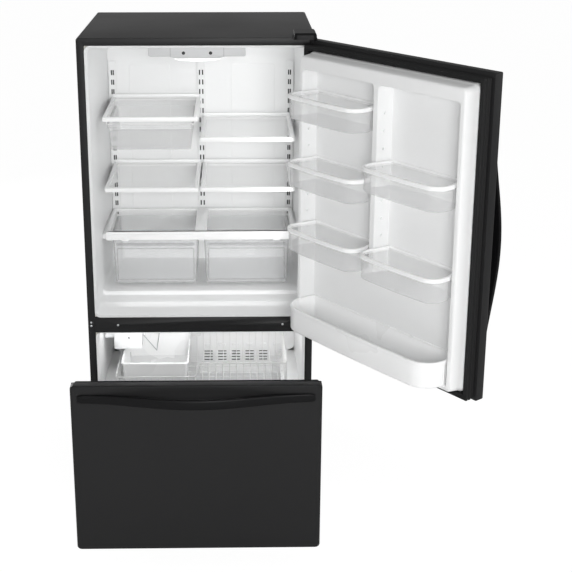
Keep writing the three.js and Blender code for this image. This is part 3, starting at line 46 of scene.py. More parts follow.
# The pieces are drawn in millimetres as the shut refrigerator has them: x to the right, y back
# from the front flange, z up. Each body's matrix puts them where they stand.
stance = {"hinge": (401.0, -38.0), "doorAngle": 127.0, "drawerOut": 470.0, "coverFront": 0.204}
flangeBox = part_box("mullion_cover")
middle = (flangeBox[0].x + flangeBox[1].x) / 2
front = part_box("crisper_frame")[0].y - stance["coverFront"]
hinge = Matrix.Translation((*stance["hinge"], 0))
swing = hinge @ Matrix.Rotation(math.radians(stance["doorAngle"]), 4, "Z") @ hinge.inverted()
cabinetPlace = Matrix.Translation((middle, front, 0)) @ Matrix.Scale(0.001, 4)
places = {
    "door": cabinetPlace @ swing,
    "freezer_drawer": cabinetPlace @ Matrix.Translation((0, -stance["drawerOut"], 0)),
}


def newObject(name, data):
    made = bpy.data.objects.new(name, data)
    bpy.context.scene.collection.objects.link(made)
    return made


camera = {
    "at": (-0.1425, -4.1374, 2.3598), "down": 17.633, "turn": 0.943, "lens": 75.695, "sensor": 36,
    "shift": (0.0573, -0.0939),
}
cameraData = bpy.data.cameras.new("camera")
cameraData.lens, cameraData.sensor_width = camera["lens"], camera["sensor"]
cameraData.shift_x, cameraData.shift_y = camera["shift"]
cameraObject = newObject("camera", cameraData)
cameraObject.location = camera["at"]
cameraObject.rotation_euler = (math.radians(90 - camera["down"]), 0, math.radians(-camera["turn"]))
bpy.context.scene.camera = cameraObject


def clearTree(owner):
    owner.use_nodes = True
    owner.node_tree.nodes.clear()
    return owner.node_tree


def addNode(tree, kind, values=None, **settings):
    # A node with its settings and the values of its sockets, by name or number.
    made = tree.nodes.new(kind)
    for key, value in settings.items():
        setattr(made, key, value)
    for key, value in (values or {}).items():
        made.inputs[key].default_value = value
    return made


def join(tree, *links):
    # Each link is a node, its output, the next node and its input.
    for source, output, target, socket in links:
        tree.links.new(source.outputs[output], target.inputs[socket])


# What a finish has unless its own entry says otherwise.
plainLook = {
    "driftScale": 4, "driftDetail": 3, "drift": 0.03, "roughDrift": 0.06, "grainDetail": 2,
    "bumpDepth": 0.0003, "metal": 0, "ior": 1.5, "specular": 0.5, "turnBlend": 0.35,
}
looks = {
    "blackEnamel": {"colour": (0.017, 0.017, 0.0175), "roughness": 0.4, "grainScale": 620,
        "bump": 0.12, "specular": 0.18, "driftScale": 2.5},
    "blackPlastic": {"colour": (0.0055, 0.0055, 0.006), "roughness": 0.42, "grainScale": 1300,
        "bump": 0.1, "specular": 0.14},
    "rearSteel": {"colour": (0.05, 0.051, 0.053), "roughness": 0.5, "grainScale": 260,
        "bump": 0.14, "metal": 0.2, "driftScale": 7, "specular": 0.3},
    "moulded": {"colour": (0.88, 0.885, 0.885), "roughness": 0.34, "grainScale": 180,
        "bump": 0.03, "drift": 0.006, "specular": 0.32, "roughDrift": 0.02},
    # The liner's white made lighter than the upper room's: painted light for the freezer's dimmer
    # lighting.
    "freezerLitWhite": {"colour": (0.95, 0.953, 0.953), "roughness": 0.3, "grainScale": 180,
        "bump": 0.03, "drift": 0.006, "specular": 0.35, "roughDrift": 0.02},
    "makerGrey": {"colour": (0.7, 0.705, 0.71), "roughness": 0.4, "grainScale": 800, "bump": 0.06,
        "drift": 0.02},
    "shelfWhite": {"colour": (0.94, 0.943, 0.943), "roughness": 0.32, "grainScale": 420,
        "bump": 0.04, "drift": 0.008, "specular": 0.4, "roughDrift": 0.02},
    "trackEnamel": {"colour": (0.85, 0.855, 0.855), "roughness": 0.3, "grainScale": 700,
        "bump": 0.05, "drift": 0.01},
    "slotShade": {"colour": (0.015, 0.015, 0.016), "roughness": 0.6, "grainScale": 300,
        "bump": 0.05},
    "housingGrey": {"colour": (0.62, 0.625, 0.63), "roughness": 0.42, "grainScale": 900,
        "bump": 0.08, "drift": 0.02},
    "seamGrey": {"colour": (0.25, 0.25, 0.255), "roughness": 0.5, "grainScale": 800, "bump": 0.05},
    "lensWhite": {"colour": (0.9, 0.9, 0.9), "roughness": 0.35, "grainScale": 500, "bump": 0.04,
        "drift": 0.01},
    # Near-black painted shade, for flat discs that stand where shaded recesses would be.
    "recessShadeBlack": {"colour": (0.012, 0.012, 0.013), "roughness": 0.5, "grainScale": 800,
        "bump": 0.1},
    # In the clear looks, edge is the grey that the colour turns to where the surface turns away:
    # painted shade.
    "binClear": {"colour": (0.9, 0.905, 0.91), "edge": 0.6, "veil": (0.1, 0.55), "roughness": 0.1,
        "grainScale": 120, "bump": 0.02, "drift": 0.01, "roughDrift": 0.03},
    "crisperClear": {"colour": (0.84, 0.85, 0.855), "edge": 0.45, "veil": (0.24, 0.58),
        "roughness": 0.14, "grainScale": 140, "bump": 0.02, "drift": 0.015, "roughDrift": 0.04},
    # The crisper's clear plastic in a greyer, denser copy: painted shade that outlines the pull and
    # border ridges.
    "ridgeShadedClear": {"colour": (0.42, 0.425, 0.43), "edge": 0.3, "veil": (0.35, 0.75),
        "roughness": 0.2, "grainScale": 200, "bump": 0.02, "drift": 0.015, "roughDrift": 0.04},
    "rimWhite": {"colour": (0.95, 0.953, 0.953), "roughness": 0.28, "grainScale": 300,
        "bump": 0.03, "drift": 0.01},
    "paneGlass": {"colour": (0.86, 0.88, 0.875), "edge": 0.6, "veil": (0.04, 0.16),
        "roughness": 0.05, "grainScale": 40, "bump": 0.01, "drift": 0.01, "roughDrift": 0.01},
    "sealRubber": {"colour": (0.012, 0.0122, 0.0125), "roughness": 0.62, "grainScale": 700,
        "bump": 0.2, "drift": 0.1, "specular": 0.18},
    "wireWhite": {"colour": (0.87, 0.87, 0.865), "roughness": 0.3, "grainScale": 600,
        "bump": 0.08, "drift": 0.02},
    "zinc": {"colour": (0.55, 0.56, 0.57), "roughness": 0.38, "metal": 0.85, "grainScale": 40,
        "bump": 0.08, "brushed": (1, 14, 14), "drift": 0.07},
    "foam": {"colour": (0.84, 0.82, 0.75), "roughness": 0.9, "grainScale": 220, "bump": 0.5,
        "drift": 0.08},
    "canBlack": {"colour": (0.02, 0.02, 0.021), "roughness": 0.5, "grainScale": 350, "bump": 0.2,
        "drift": 0.12},
    "tyreBlack": {"colour": (0.03, 0.03, 0.031), "roughness": 0.65, "grainScale": 500,
        "bump": 0.25, "drift": 0.1},
}


def finish(name, look):
    # A colour and a roughness that drift, and a fine bump, all on Object coordinates.
    look = {**plainLook, **look}
    colour, step, spread = look["colour"], look["drift"], look["roughDrift"]
    material = bpy.data.materials.new(name)
    tree = clearTree(material)
    out = addNode(tree, "ShaderNodeOutputMaterial")
    shader = addNode(tree, "ShaderNodeBsdfPrincipled", {
        "Metallic": look["metal"], "IOR": look["ior"], "Specular IOR Level": look["specular"]})
    where = addNode(tree, "ShaderNodeTexCoord")
    drift = addNode(tree, "ShaderNodeTexNoise", {
        "Scale": look["driftScale"], "Detail": look["driftDetail"]})
    tint = addNode(tree, "ShaderNodeMix", {
        6: (*[c * (1 - step) for c in colour], 1),
        7: (*[min(1, c * (1 + step)) for c in colour], 1)}, data_type="RGBA")
    grain = addNode(tree, "ShaderNodeTexNoise", {
        "Scale": look["grainScale"], "Detail": look["grainDetail"]})
    rough = addNode(tree, "ShaderNodeMapRange", {
        "To Min": look["roughness"] - spread, "To Max": look["roughness"] + spread})
    bump = addNode(tree, "ShaderNodeBump", {
        "Strength": look["bump"], "Distance": look["bumpDepth"]})
    join(tree, (where, "Object", drift, "Vector"), (drift, "Fac", tint, 0),
         (drift, "Fac", rough, "Value"), (rough, 0, shader, "Roughness"),
         (grain, "Fac", bump, "Height"), (bump, 0, shader, "Normal"), (shader, 0, out, 0))
    if "brushed" in look:
        stretch = addNode(tree, "ShaderNodeMapping", {"Scale": look["brushed"]})
        join(tree, (where, "Object", stretch, "Vector"), (stretch, 0, grain, "Vector"))
    else:
        join(tree, (where, "Object", grain, "Vector"))
    base = tint
    if "veil" in look:
        # Clear plastic and glass: a thin veil face on, denser where the surface turns away. There
        # the colour also greys towards the edge value: painted shade for the dark rims that clear
        # plastic shows.
        turn = addNode(tree, "ShaderNodeLayerWeight", {"Blend": look["turnBlend"]})
        base = addNode(tree, "ShaderNodeMix", {7: (*[look["edge"]] * 3, 1)}, data_type="RGBA")
        veil = addNode(tree, "ShaderNodeMapRange", dict(zip(("To Min", "To Max"), look["veil"])))
        join(tree, (turn, "Facing", base, 0), (tint, 2, base, 6), (turn, "Facing", veil, "Value"),
             (veil, 0, shader, "Alpha"))
    join(tree, (base, 2, shader, "Base Color"))
    return material


finishes = {name: finish(name, look) for name, look in looks.items()}
print("finishes made:", len(finishes))


# In millimetres the tightest corner, what a corner leaves of a side, the shortest side and the
# weld of points; then the share of a side that a bend takes, and where an edge is half turned.
drawing = {
    "tightest": 0.05, "spare": 0.01, "shortest": 1e-6, "weld": 0.002, "bendShare": 0.48,
    "halfTurned": 0.3,
}


def roundRing(u0, u1, v0, v1, radius, steps):
    # A rectangle with rounded corners, counter-clockwise.
    spare = drawing["spare"]
    radius = max(drawing["tightest"], min(radius, (u1 - u0) / 2 - spare, (v1 - v0) / 2 - spare))
    corners = ((u1 - radius, v0 + radius, -90), (u1 - radius, v1 - radius, 0),
               (u0 + radius, v1 - radius, 90), (u0 + radius, v0 + radius, 180))
    ring = []
    for u, v, start in corners:
        for i in range(steps + 1):
            angle = math.radians(start + 90 * i / steps)
            ring.append((u + radius * math.cos(angle), v + radius * math.sin(angle)))
    return ring


def insetRings(box, rows, corner, share=1, least=0, steps=5, upright=False):
    # One rounded rectangle, drawn in by each row's first number at the level of its second. The
    # corner's radius shrinks by a share of that inset.
    u0, u1, v0, v1 = box
    rings = []
    for inset, level in rows:
        radius = max(least, corner - inset * share)
        ring = roundRing(u0 + inset, u1 - inset, v0 + inset, v1 - inset, radius, steps)
        rings.append([(u, level, v) if upright else (u, v, level) for u, v in ring])
    return rings


def frontRings(rows, steps):
    # Upright rounded rectangles from rows of y, half width, bottom, top and corner radius.
    return [[(x, y, z) for x, z in roundRing(-half, half, z0, z1, radius, steps)]
            for y, half, z0, z1, radius in rows]


def softPath(rows, reach, steps=4, closed=False):
    # Rounds the corners of a path whose points may have any number of coordinates.
    rows = [np.array(row, float) for row in rows]
    count = len(rows)
    made = []
    for i, row in enumerate(rows):
        if not closed and i in (0, count - 1):
            made.append(row)
            continue
        ends = []
        for other in (rows[i - 1], rows[(i + 1) % count]):
            length = np.linalg.norm(other - row)
            cut = min(reach, length * drawing["bendShare"])
            ends.append(row + (other - row) * (cut / max(length, drawing["shortest"])))
        for s in range(steps + 1):
            t = s / steps
            made.append((1 - t) ** 2 * ends[0] + 2 * t * (1 - t) * row + t * t * ends[1])
    return made


def loft(rings, closed=False):
    # Skins rings of equal length. Open ends are closed with a fan round their middle.
    count = len(rings[0])
    points = [tuple(p) for ring in rings for p in ring]
    faces = []
    for s in range(len(rings) - (0 if closed else 1)):
        a, b = s * count, (s + 1) % len(rings) * count
        for i in range(count):
            j = (i + 1) % count
            faces.append((a + i, a + j, b + j, b + i))
    if not closed:
        for start in (0, (len(rings) - 1) * count):
            points.append(tuple(np.array(points[start:start + count]).mean(0)))
            for i in range(count):
                faces.append((start + i, start + (i + 1) % count, len(points) - 1))
    return points, faces


def gather(*shapes):
    points, faces = [], []
    for shape in shapes:
        start = len(points)
        points += shape[0]
        faces += [tuple(i + start for i in face) for face in shape[1]]
    return points, faces


def bothSides(near, far):
    # The same span left and right of the middle.
    return (-far, -near), (near, far)


def softLevels(low, high, edge):
    # Rows for insetRings that round both ends of a block.
    part = edge * drawing["halfTurned"]
    return [(edge, low), (part, low + part), (0, low + edge), (0, high - edge),
            (part, high - part), (edge, high)]


def slab(x0, x1, y0, y1, z0, z1, edge):
    # A block with rounded edges all round.
    return loft(insetRings((x0, x1, y0, y1), softLevels(z0, z1, edge), edge, 0.5, steps=3))


def cylinder(start, end, radius, sides, edge):
    # A round bar between two points with softened ends.
    a, b = Vector(start), Vector(end)
    along = (b - a).normalized()
    side = along.orthogonal().normalized()
    other = along.cross(side)
    turns = [2 * math.pi * i / sides for i in range(sides)]
    return loft([[at + (side * math.cos(t) + other * math.sin(t)) * r for t in turns]
                 for at, r in ((a, radius - edge), (a + along * edge, radius),
                               (b - along * edge, radius), (b, radius - edge))])


def punched(box, columns, rows, front, back):
    # An upright plate with a slot at each crossing of a column and a row.
    x0, x1, z0, z1 = box
    lines = [x0, *[x for column in columns for x in column], x1]
    levels = [z0, *[z for row in rows for z in row], z1]
    points = [(x, y, z) for y in (front, back) for x in lines for z in levels]
    nz, layer = len(levels), len(lines) * len(levels)
    cells = [(i, j) for i in range(len(lines) - 1) for j in range(nz - 1) if not (i % 2 and j % 2)]
    solidCells = set(cells)
    faces = []
    for i, j in cells:
        a, b, c, d = i * nz + j, (i + 1) * nz + j, (i + 1) * nz + j + 1, i * nz + j + 1
        faces += [(a, b, c, d), (a + layer, d + layer, c + layer, b + layer)]
        for (di, dj), (p, q) in (((0, -1), (a, b)), ((1, 0), (b, c)), ((0, 1), (c, d)),
                                 ((-1, 0), (d, a))):
            if (i + di, j + dj) not in solidCells:
                faces.append((p, p + layer, q + layer, q))
    return points, faces


def smooth(mesh, sharp):
    for face in mesh.polygons:
        face.use_smooth = True
    mesh.set_sharp_from_angle(angle=math.radians(sharp))


def placed(points, body):
    matrix = places.get(body, cabinetPlace)
    return [matrix @ Vector(p) for p in points]


def show(name, mesh, look, body, stands=None):
    piece = newObject(name, mesh)
    mesh.materials.clear()
    mesh.materials.append(finishes[look])
    if "veil" in looks[look]:
        piece.visible_shadow = False  # clear pieces let the light through
    if stands:
        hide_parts(stands)
    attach(piece, body)


def make(name, shape, look, body, stands=None, sharp=40):
    # One finished piece from points and faces in millimetres.
    points, faces = shape
    mesh = bpy.data.meshes.new(name)
    mesh.from_pydata(placed(points, body), [], faces)
    builder = bmesh.new()
    builder.from_mesh(mesh)
    bmesh.ops.remove_doubles(builder, verts=builder.verts, dist=drawing["weld"] / 1000)
    bmesh.ops.recalc_face_normals(builder, faces=builder.faces)
    builder.to_mesh(mesh)
    builder.free()
    smooth(mesh, sharp)
    show(name, mesh, look, body, stands)


def evaluated(holder):
    # The object's result as a plain mesh; the object and its modifier go.
    graph = bpy.context.evaluated_depsgraph_get()
    mesh = bpy.data.meshes.new_from_object(holder.evaluated_get(graph))
    bpy.data.objects.remove(holder)
    return mesh


softEdge = {"merge": 0.00001, "flat": 1.5, "bevelFrom": 34, "sharp": 40}  # metres and degrees


def soften(node, look, body, width, segments=2):
    # The CAD piece's own form with its edges broken, as a merged copy that stands for it.
    mesh = nodes[node].data.copy()
    mesh.name = node + "Soft"
    builder = bmesh.new()
    builder.from_mesh(mesh)
    bmesh.ops.remove_doubles(builder, verts=builder.verts, dist=softEdge["merge"])
    bmesh.ops.dissolve_limit(builder, angle_limit=math.radians(softEdge["flat"]),
                             verts=builder.verts, edges=builder.edges)
    bmesh.ops.triangulate(builder, faces=[f for f in builder.faces if len(f.verts) > 4])
    builder.to_mesh(mesh)
    builder.free()
    holder = newObject(node + "Holder", mesh)
    bevel = holder.modifiers.new("edges", "BEVEL")
    bevel.width = width / 1000
    bevel.segments = segments
    bevel.limit_method = "ANGLE"
    bevel.angle_limit = math.radians(softEdge["bevelFrom"])
    bevel.use_clamp_overlap = True
    bevel.miter_outer = "MITER_ARC"
    made = evaluated(holder)
    smooth(made, softEdge["sharp"])
    show(node + "Soft", made, look, body, node)


shell = {
    "half": 416.0, "bottom": 62.0, "top": 1743.0, "depth": 692.0, "sheet": 1.2, "corner": 8.0,
    "opening": 389.5, "openingBottom": 105.0, "openingTop": 1716.5, "openingCorner": 5.0,
    "turnIn": 10.0, "edge": 1.6,
}


def cabinetShell():
    s = shell
    t = s["sheet"]
    whole = (s["half"], s["bottom"], s["top"], s["corner"])
    hole = (s["opening"], s["openingBottom"], s["openingTop"], s["openingCorner"])

    def grown(box, g):
        return (box[0] + g, box[1] - g, box[2] + g, max(0.5, box[3] + g))

    rows = [(s["depth"], *whole), (0.0, *whole), (0.0, *hole), (s["turnIn"], *hole),
            (s["turnIn"], *grown(hole, t)), (t, *grown(hole, t)), (t, *grown(whole, -t)),
            (s["depth"], *grown(whole, -t))]
    return loft(frontRings(softPath(rows, s["edge"], 3, closed=True), 8), closed=True)


make("cabinetShell", cabinetShell(), "blackEnamel", "cabinet", "outer_wrapper")
soften("mullion_cover", "blackEnamel", "cabinet", 0.5)
print("cabinet shell")

# Each room's rows are y, half width, bottom and top, from the front to the rear wall.
freshRoom = {
    "rows": [(0.3, 386.2, 713.3, 1713.2), (14, 386.2, 713.3, 1713.2), (24, 380.2, 717.3, 1704),
        (94, 378.2, 736.3, 1704), (164, 376.3, 737.3, 1704), (172, 376.3, 751.3, 1704),
        (534, 367.2, 753.3, 1704), (549.6, 366.0, 755.3, 1702)],
    "corner": 17, "round": 5, "wall": 2.4, "rear": 500, "rearWall": 2.0, "ledge": (353.0, 375.5),
    "ledgeBlock": (224.0, 528.0, 943.0, 964.6, 3),
}
freezerRoom = {
    "rows": [(0.3, 386.2, 108.3, 647.7), (14, 386.2, 108.3, 647.7), (24, 380.2, 112.3, 643.7),
        (329, 375.2, 116.3, 641.5), (331.5, 375.0, 335.4, 641.4), (551.6, 371.4, 335.4, 637.9)],
    "corner": 16, "round": 6, "wall": 2.4, "rear": 500, "rearWall": 2.0,
    "railBoss": (371.3, 378.5), "railBlock": (22.0, 512.0, 340.0, 386.6, 1.2),
    "basketLedge": (308.0, 378.0), "basketBlock": (18.0, 434.0, 386.5, 390.5, 1.2),
}
# The shallow raised fields on the upper room's rear wall.
duct = {
    "left": (-284, -122), "right": (119, 290), "bottom": 800, "top": 1560, "corner": 10,
    "rows": [(0, 549.8), (0.2, 548.6), (2.4, 547.8), (4, 547.8)],
}


def roomShape(room):
    path = softPath(room["rows"], room["round"], 4)
    rows = []
    for grow, run in ((room["wall"], path[::-1]), (0, path)):
        for y, half, z0, z1 in run:
            back = min(grow, room["rearWall"]) if y > room["rear"] else 0
            rows.append((y + back, half + grow, z0 - grow, z1 + grow, room["corner"] + grow))
    return loft(frontRings(rows, 7))


shapes = [roomShape(freshRoom)]
shapes += [slab(*span, *freshRoom["ledgeBlock"]) for span in bothSides(*freshRoom["ledge"])]
for side in ("left", "right"):
    box = (*duct[side], duct["bottom"], duct["top"])
    shapes.append(loft(insetRings(box, duct["rows"], duct["corner"], 0, upright=True)))
make("freshLiner", gather(*shapes), "moulded", "cabinet", "fresh_liner")
shapes = [roomShape(freezerRoom)]
for spans, block in (("railBoss", "railBlock"), ("basketLedge", "basketBlock")):
    shapes += [slab(*span, *freezerRoom[block]) for span in bothSides(*freezerRoom[spans])]
# The freezer liner takes the lighter copy of the liner white, painted light for its dimmer room.
make("freezerLiner", gather(*shapes), "freezerLitWhite", "cabinet", "freezer_liner")
print("liners")

track = {
    "half": 15.0, "face": 541.7, "back": 549.6, "sheet": 1.6, "bend": 1.6, "round": 1.5,
    "bottom": 909.0, "top": 1573.0, "slot": (5.0, 20.0), "first": 1527.0, "pitch": 38.0,
    "rows": 16, "shadeHalf": 12.5, "shade": (548.2, 549.4, 912, 1570, 0.3),
    "places": {"left": (-348.0, 7.0), "centre": (0.0, 12.0), "right": (348.0, 7.0)},
}


def trackShape(x, spacing):
    t = track
    face, back, sheet, bend = t["face"], t["back"], t["sheet"], t["bend"]
    inner = face + sheet
    wide, high = t["slot"][0] / 2, t["slot"][1] / 2
    columns = [(x + at - wide, x + at + wide) for at in (-spacing / 2, spacing / 2)]
    rows = [(z - high, z + high)
            for z in (t["first"] - t["pitch"] * row for row in range(t["rows"] - 1, -1, -1))]
    box = (x - t["half"] + bend, x + t["half"] - bend, t["bottom"], t["top"])
    shapes = [punched(box, columns, rows, face, inner)]
    for turn in (-1, 1):
        edge = x + turn * t["half"]
        path = softPath([(edge - turn * bend, face), (edge, face), (edge, back),
                         (edge - turn * sheet, back), (edge - turn * sheet, inner),
                         (edge - turn * bend, inner)], t["round"], 3, closed=True)
        shapes.append(loft([[(px, py, z) for px, py in path] for z in (t["bottom"], t["top"])]))
    return gather(*shapes)


for name, (x, spacing) in track["places"].items():
    make("shelfTrack_" + name, trackShape(x, spacing), "trackEnamel", "cabinet",
         "shelf_track_" + name, sharp=30)
    shade = slab(x - track["shadeHalf"], x + track["shadeHalf"], *track["shade"])
    make("trackShade_" + name, shade, "slotShade", "cabinet")

# A shelf's frame section is how far in from the outline and how far under the top.
shelves = {
    "pitch": 38.0, "firstSlot": 1527.0, "rise": 20.0, "near": 3.0, "far": 352.0, "front": 140.0,
    "depth": 398.0, "height": 15.0, "seat": 8.3, "corner": 8, "leastCorner": 1.5, "round": 1.4,
    "section": [(0, 15), (0, 3), (3, 0), (14.8, 0), (16, 0.8), (16, 1.7), (8, 1.7), (8, 6.3),
        (14, 6.3), (14, 15)],
    "glass": 4.0, "glassDrop": 2.0, "glassCorner": 4, "glassEdge": 0.9,
    "stop": (5.0, 6.5, 0.6, 3.0, 11.0, 2.2),
    "places": {"upper_left": (-1, 3), "upper_right": (1, 5), "lower_left": (-1, 10),
        "lower_right": (1, 10)},
}
arm = {
    "at": (6.0, 344.5), "back": 541.2, "tip": 162.0, "nose": 6.0, "root": 65.0,
    "hook": [(537.2, -9.6), (543.8, -9.6), (543.8, -14.6), (547.8, -14.6), (547.8, 7.6),
        (537.2, 7.6)],
    "section": [(-1.5, 0.35), (-1.15, 0), (1.15, 0), (1.5, 0.35)],
}
deliRail = {
    "walls": ((-340, -338), (-17, -15)), "feet": ((-340, -330), (-25, -15)), "run": (163, 508),
    "drop": 16.0, "foot": 2.0, "edges": (0.4, 0.5),
}


def paneShape(x0, x1, y0, y1, z0, z1):
    levels = softLevels(z0, z1, shelves["glassEdge"])
    return loft(insetRings((x0, x1, y0, y1), levels, shelves["glassCorner"]))


def bracketArm(x, top, slotZ):
    # A steel arm that tapers to the front, with two hooks behind the track's face.
    a = arm
    under = top - shelves["height"] + 1
    outlines = [[(a["tip"], under - a["nose"]), (a["back"], under - a["root"]),
                 (a["back"], under), (a["tip"], under)]]
    for z in (slotZ, slotZ - shelves["pitch"]):
        outlines.append([(y, z + rise) for y, rise in a["hook"]])
    shapes = []
    for points in map(np.array, outlines):
        centre = points.mean(0)
        shapes.append(loft([[(x + dx, *(p - np.sign(p - centre) * inset)) for p in points]
                            for dx, inset in a["section"]]))
    return gather(*shapes)


for name, (side, row) in shelves["places"].items():
    s = shelves
    x0, x1 = bothSides(s["near"], s["far"])[side > 0]
    y0, y1 = s["front"], s["front"] + s["depth"]
    slotZ = s["firstSlot"] - s["pitch"] * row
    top = slotZ + s["rise"]
    section = softPath([(inset, top - drop) for inset, drop in s["section"]], s["round"], 3,
                       closed=True)
    rings = insetRings((x0, x1, y0, y1), section, s["corner"], 0.5, s["leastCorner"])
    stopIn, inFront, behind, below, above, edge = s["stop"]
    stop = slab(x0 + stopIn, x1 - stopIn, y1 - inFront, y1 - behind, top - below, top + above, edge)
    shapes = [loft(rings, closed=True), stop]
    shapes += [bracketArm(side * x, top, slotZ) for x in arm["at"]]
    if name == "upper_left":
        r, under = deliRail, top - s["height"]
        low = under - r["drop"]
        for wall, foot in zip(r["walls"], r["feet"]):
            shapes.append(slab(*wall, *r["run"], low, under + 1, r["edges"][0]))
            shapes.append(slab(*foot, *r["run"], low, low + r["foot"], r["edges"][1]))
    make("shelfFrame_" + name, gather(*shapes), "shelfWhite", "cabinet", "shelf_frame_" + name)
    seat, level = s["seat"], top - s["glassDrop"]
    pane = paneShape(x0 + seat, x1 - seat, y0 + seat, y1 - seat, level - s["glass"], level)
    make("shelfPane_" + name, pane, "paneGlass", "cabinet", "shelf_glass_" + name)
print("shelves")

tubEdge = {"round": 3, "floorRun": 10, "rimDepth": 8, "rimFront": 14, "leastCorner": 1.5}
panelEdge = {"corner": 6, "sunk": -0.3, "round": 0.7}


def tubShape(size, lip=None):
    # A tapering tub with rounded edges; lip lowers the rim towards the middle of the front.
    x0, x1, y0, y1 = size["plan"]
    z0, z1, lean, wall = size["bottom"], size["top"], size["lean"], size["wall"]
    floor = lean + tubEdge["floorRun"]
    rim, nose = z1 - tubEdge["rimDepth"], y0 + tubEdge["rimFront"]
    profile = [(0, floor, z0), (0, lean, z0), (0, 0, z1), (wall, 0, z1),
               (wall, lean, z0 + wall), (wall, floor, z0 + wall)]
    rings = []
    for inner, inset, z in softPath(profile, tubEdge["round"], 4):
        ahead = min(inset / lean, 1) * size.get("frontLean", lean) + inner + max(0, inset - lean)
        ring = roundRing(x0 + inset + inner, x1 - inset - inner, y0 + ahead, y1 - inset - inner,
                         max(tubEdge["leastCorner"], size["corner"] - inner), 7)
        rings.append([(x, y, z - lip(x) if lip and z >= rim and y <= nose else z)
                      for x, y in ring])
    return loft(rings)


def ringBand(box, corner, profile, reach):
    # A closed band swept round a rounded rectangle; profile is (outset, z).
    rows = [(-outset, z) for outset, z in softPath(profile, reach, 3, closed=True)]
    return loft(insetRings(box, rows, corner, steps=7), closed=True)


def borderPanel(x0, x1, z0, z1, yBottom, yTop, rise, width):
    # A raised border on a leaning front wall.
    sunk = panelEdge["sunk"]
    path = softPath([(0, sunk), (0, rise), (width, rise), (width, sunk)], panelEdge["round"], 3,
                    closed=True)
    rings = insetRings((x0, x1, z0, z1), path, panelEdge["corner"], steps=6, upright=True)
    return loft([[(x, yBottom + (yTop - yBottom) * (z - z0) / (z1 - z0) - proud, z)
                  for x, proud, z in ring] for ring in rings], closed=True)


crisper = {
    "near": 2.3, "far": 346.7, "shoulder": 9.0, "front": 222.0, "back": 532.0, "bottom": 764.0,
    "top": 944.4, "lean": 8.0, "frontLean": 4.0, "wall": 2.5, "corner": 13.0, "scoop": 15.0,
    "scoopEnd": 26.0, "flangeWidth": 10, "flange": (236.0, 524.0, 942.4, 944.4, 0.6), "faceIn": 24,
    "pull": (217.4, 223.5, 917.4, 926.4, 1.6), "border": (776.0, 906.4, 225.7, 223.0, 1.5, 3.2),
}
for name, (x0, x1) in zip(("left", "right"), bothSides(crisper["near"], crisper["far"])):
    c = crisper
    mid, reach = (x0 + x1) / 2, (x1 - x0) / 2 - c["scoopEnd"]

    def scoop(x):
        t = min(1, abs(x - mid) / reach)
        return crisper["scoop"] * (1 - t * t * (3 - 2 * t))

    plan = (x0 + c["shoulder"], x1 - c["shoulder"], c["front"], c["back"])
    shapes = [tubShape({**c, "plan": plan}, scoop)]
    for span in ((x0, x0 + c["flangeWidth"]), (x1 - c["flangeWidth"], x1)):
        shapes.append(slab(*span, *c["flange"]))
    span = (x0 + c["faceIn"], x1 - c["faceIn"])
    ridges = gather(slab(*span, *c["pull"]), borderPanel(*span, *c["border"]))
    body = "crisper_" + name
    make(body + "Tub", gather(*shapes), "crisperClear", body, body)
    # The ridges take the greyer copy of the clear plastic, painted shade that outlines them.
    make(body + "Ridges", ridges, "ridgeShadedClear", body)

deli = {
    "plan": (-328.7, -24.3, 143.0, 490.0), "bottom": 1312.3, "top": 1406.3, "lean": 6.0,
    "wall": 2.4, "corner": 9.0, "frontLean": 4.0,
    "flanges": [(-337.7, -327.7, 169, 486, 1404.3, 1406.3, 0.6),
        (-25.3, -15.3, 169, 486, 1404.3, 1406.3, 0.6)],
    "lip": (-333.7, -19.3, 141.0, 146.0, 1394.3, 1406.3, 1.4),
    "border": (-318, -35, 1322, 1386, 146.0, 143.6, 1.0, 2.6),
}
shapes = [slab(*block) for block in (*deli["flanges"], deli["lip"])]
make("deliTub", gather(tubShape(deli), *shapes, borderPanel(*deli["border"])), "binClear", "deli",
     "deli_drawer")
print("crispers and shallow drawer")

cover = {
    "ring": (-346.0, 346.0, 222.0, 514.0), "ringCorner": 4, "ringEdge": 1.6,
    "ringSection": [(0, 965), (14, 965), (14, 977), (0, 977)],
    "bar": (-22.0, 22.0, 212.0, 520.0, 965.0, 976.8, 1.4),
    "apron": (-360.0, 360.0, 204.0, 223.0, 965.0, 977.0, 1.8),
    "face": (-360.0, 360.0, 204.3, 207.0, 945.0, 975.0, 1.0),
    "webs": ((347, 350), (-350, -347), (-2, 2)), "web": (214, 528, 939.1, 966, 0.5),
    "feet": ((339, 350), (-350, -339), (-10, 10)), "foot": (214, 528, 939.1, 942.1, 0.8),
}
shapes = [ringBand(cover["ring"], cover["ringCorner"], cover["ringSection"], cover["ringEdge"])]
shapes += [slab(*cover[block]) for block in ("bar", "apron", "face")]
for web, foot in zip(cover["webs"], cover["feet"]):
    shapes += [slab(*web, *cover["web"]), slab(*foot, *cover["foot"])]
make("crisperCover", gather(*shapes), "shelfWhite", "cabinet", "crisper_frame")
toLocal = cabinetPlace.inverted()
for name in ("left", "right"):
    a, b = (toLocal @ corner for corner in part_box("crisper_glass_" + name))
    make("crisperPane_" + name, paneShape(a.x, b.x, a.y, b.y, a.z, b.z), "paneGlass", "cabinet",
         "crisper_glass_" + name)
    soften("humidity_slide_" + name, "shelfWhite", "humidity_" + name, 0.8)
print("crisper cover")

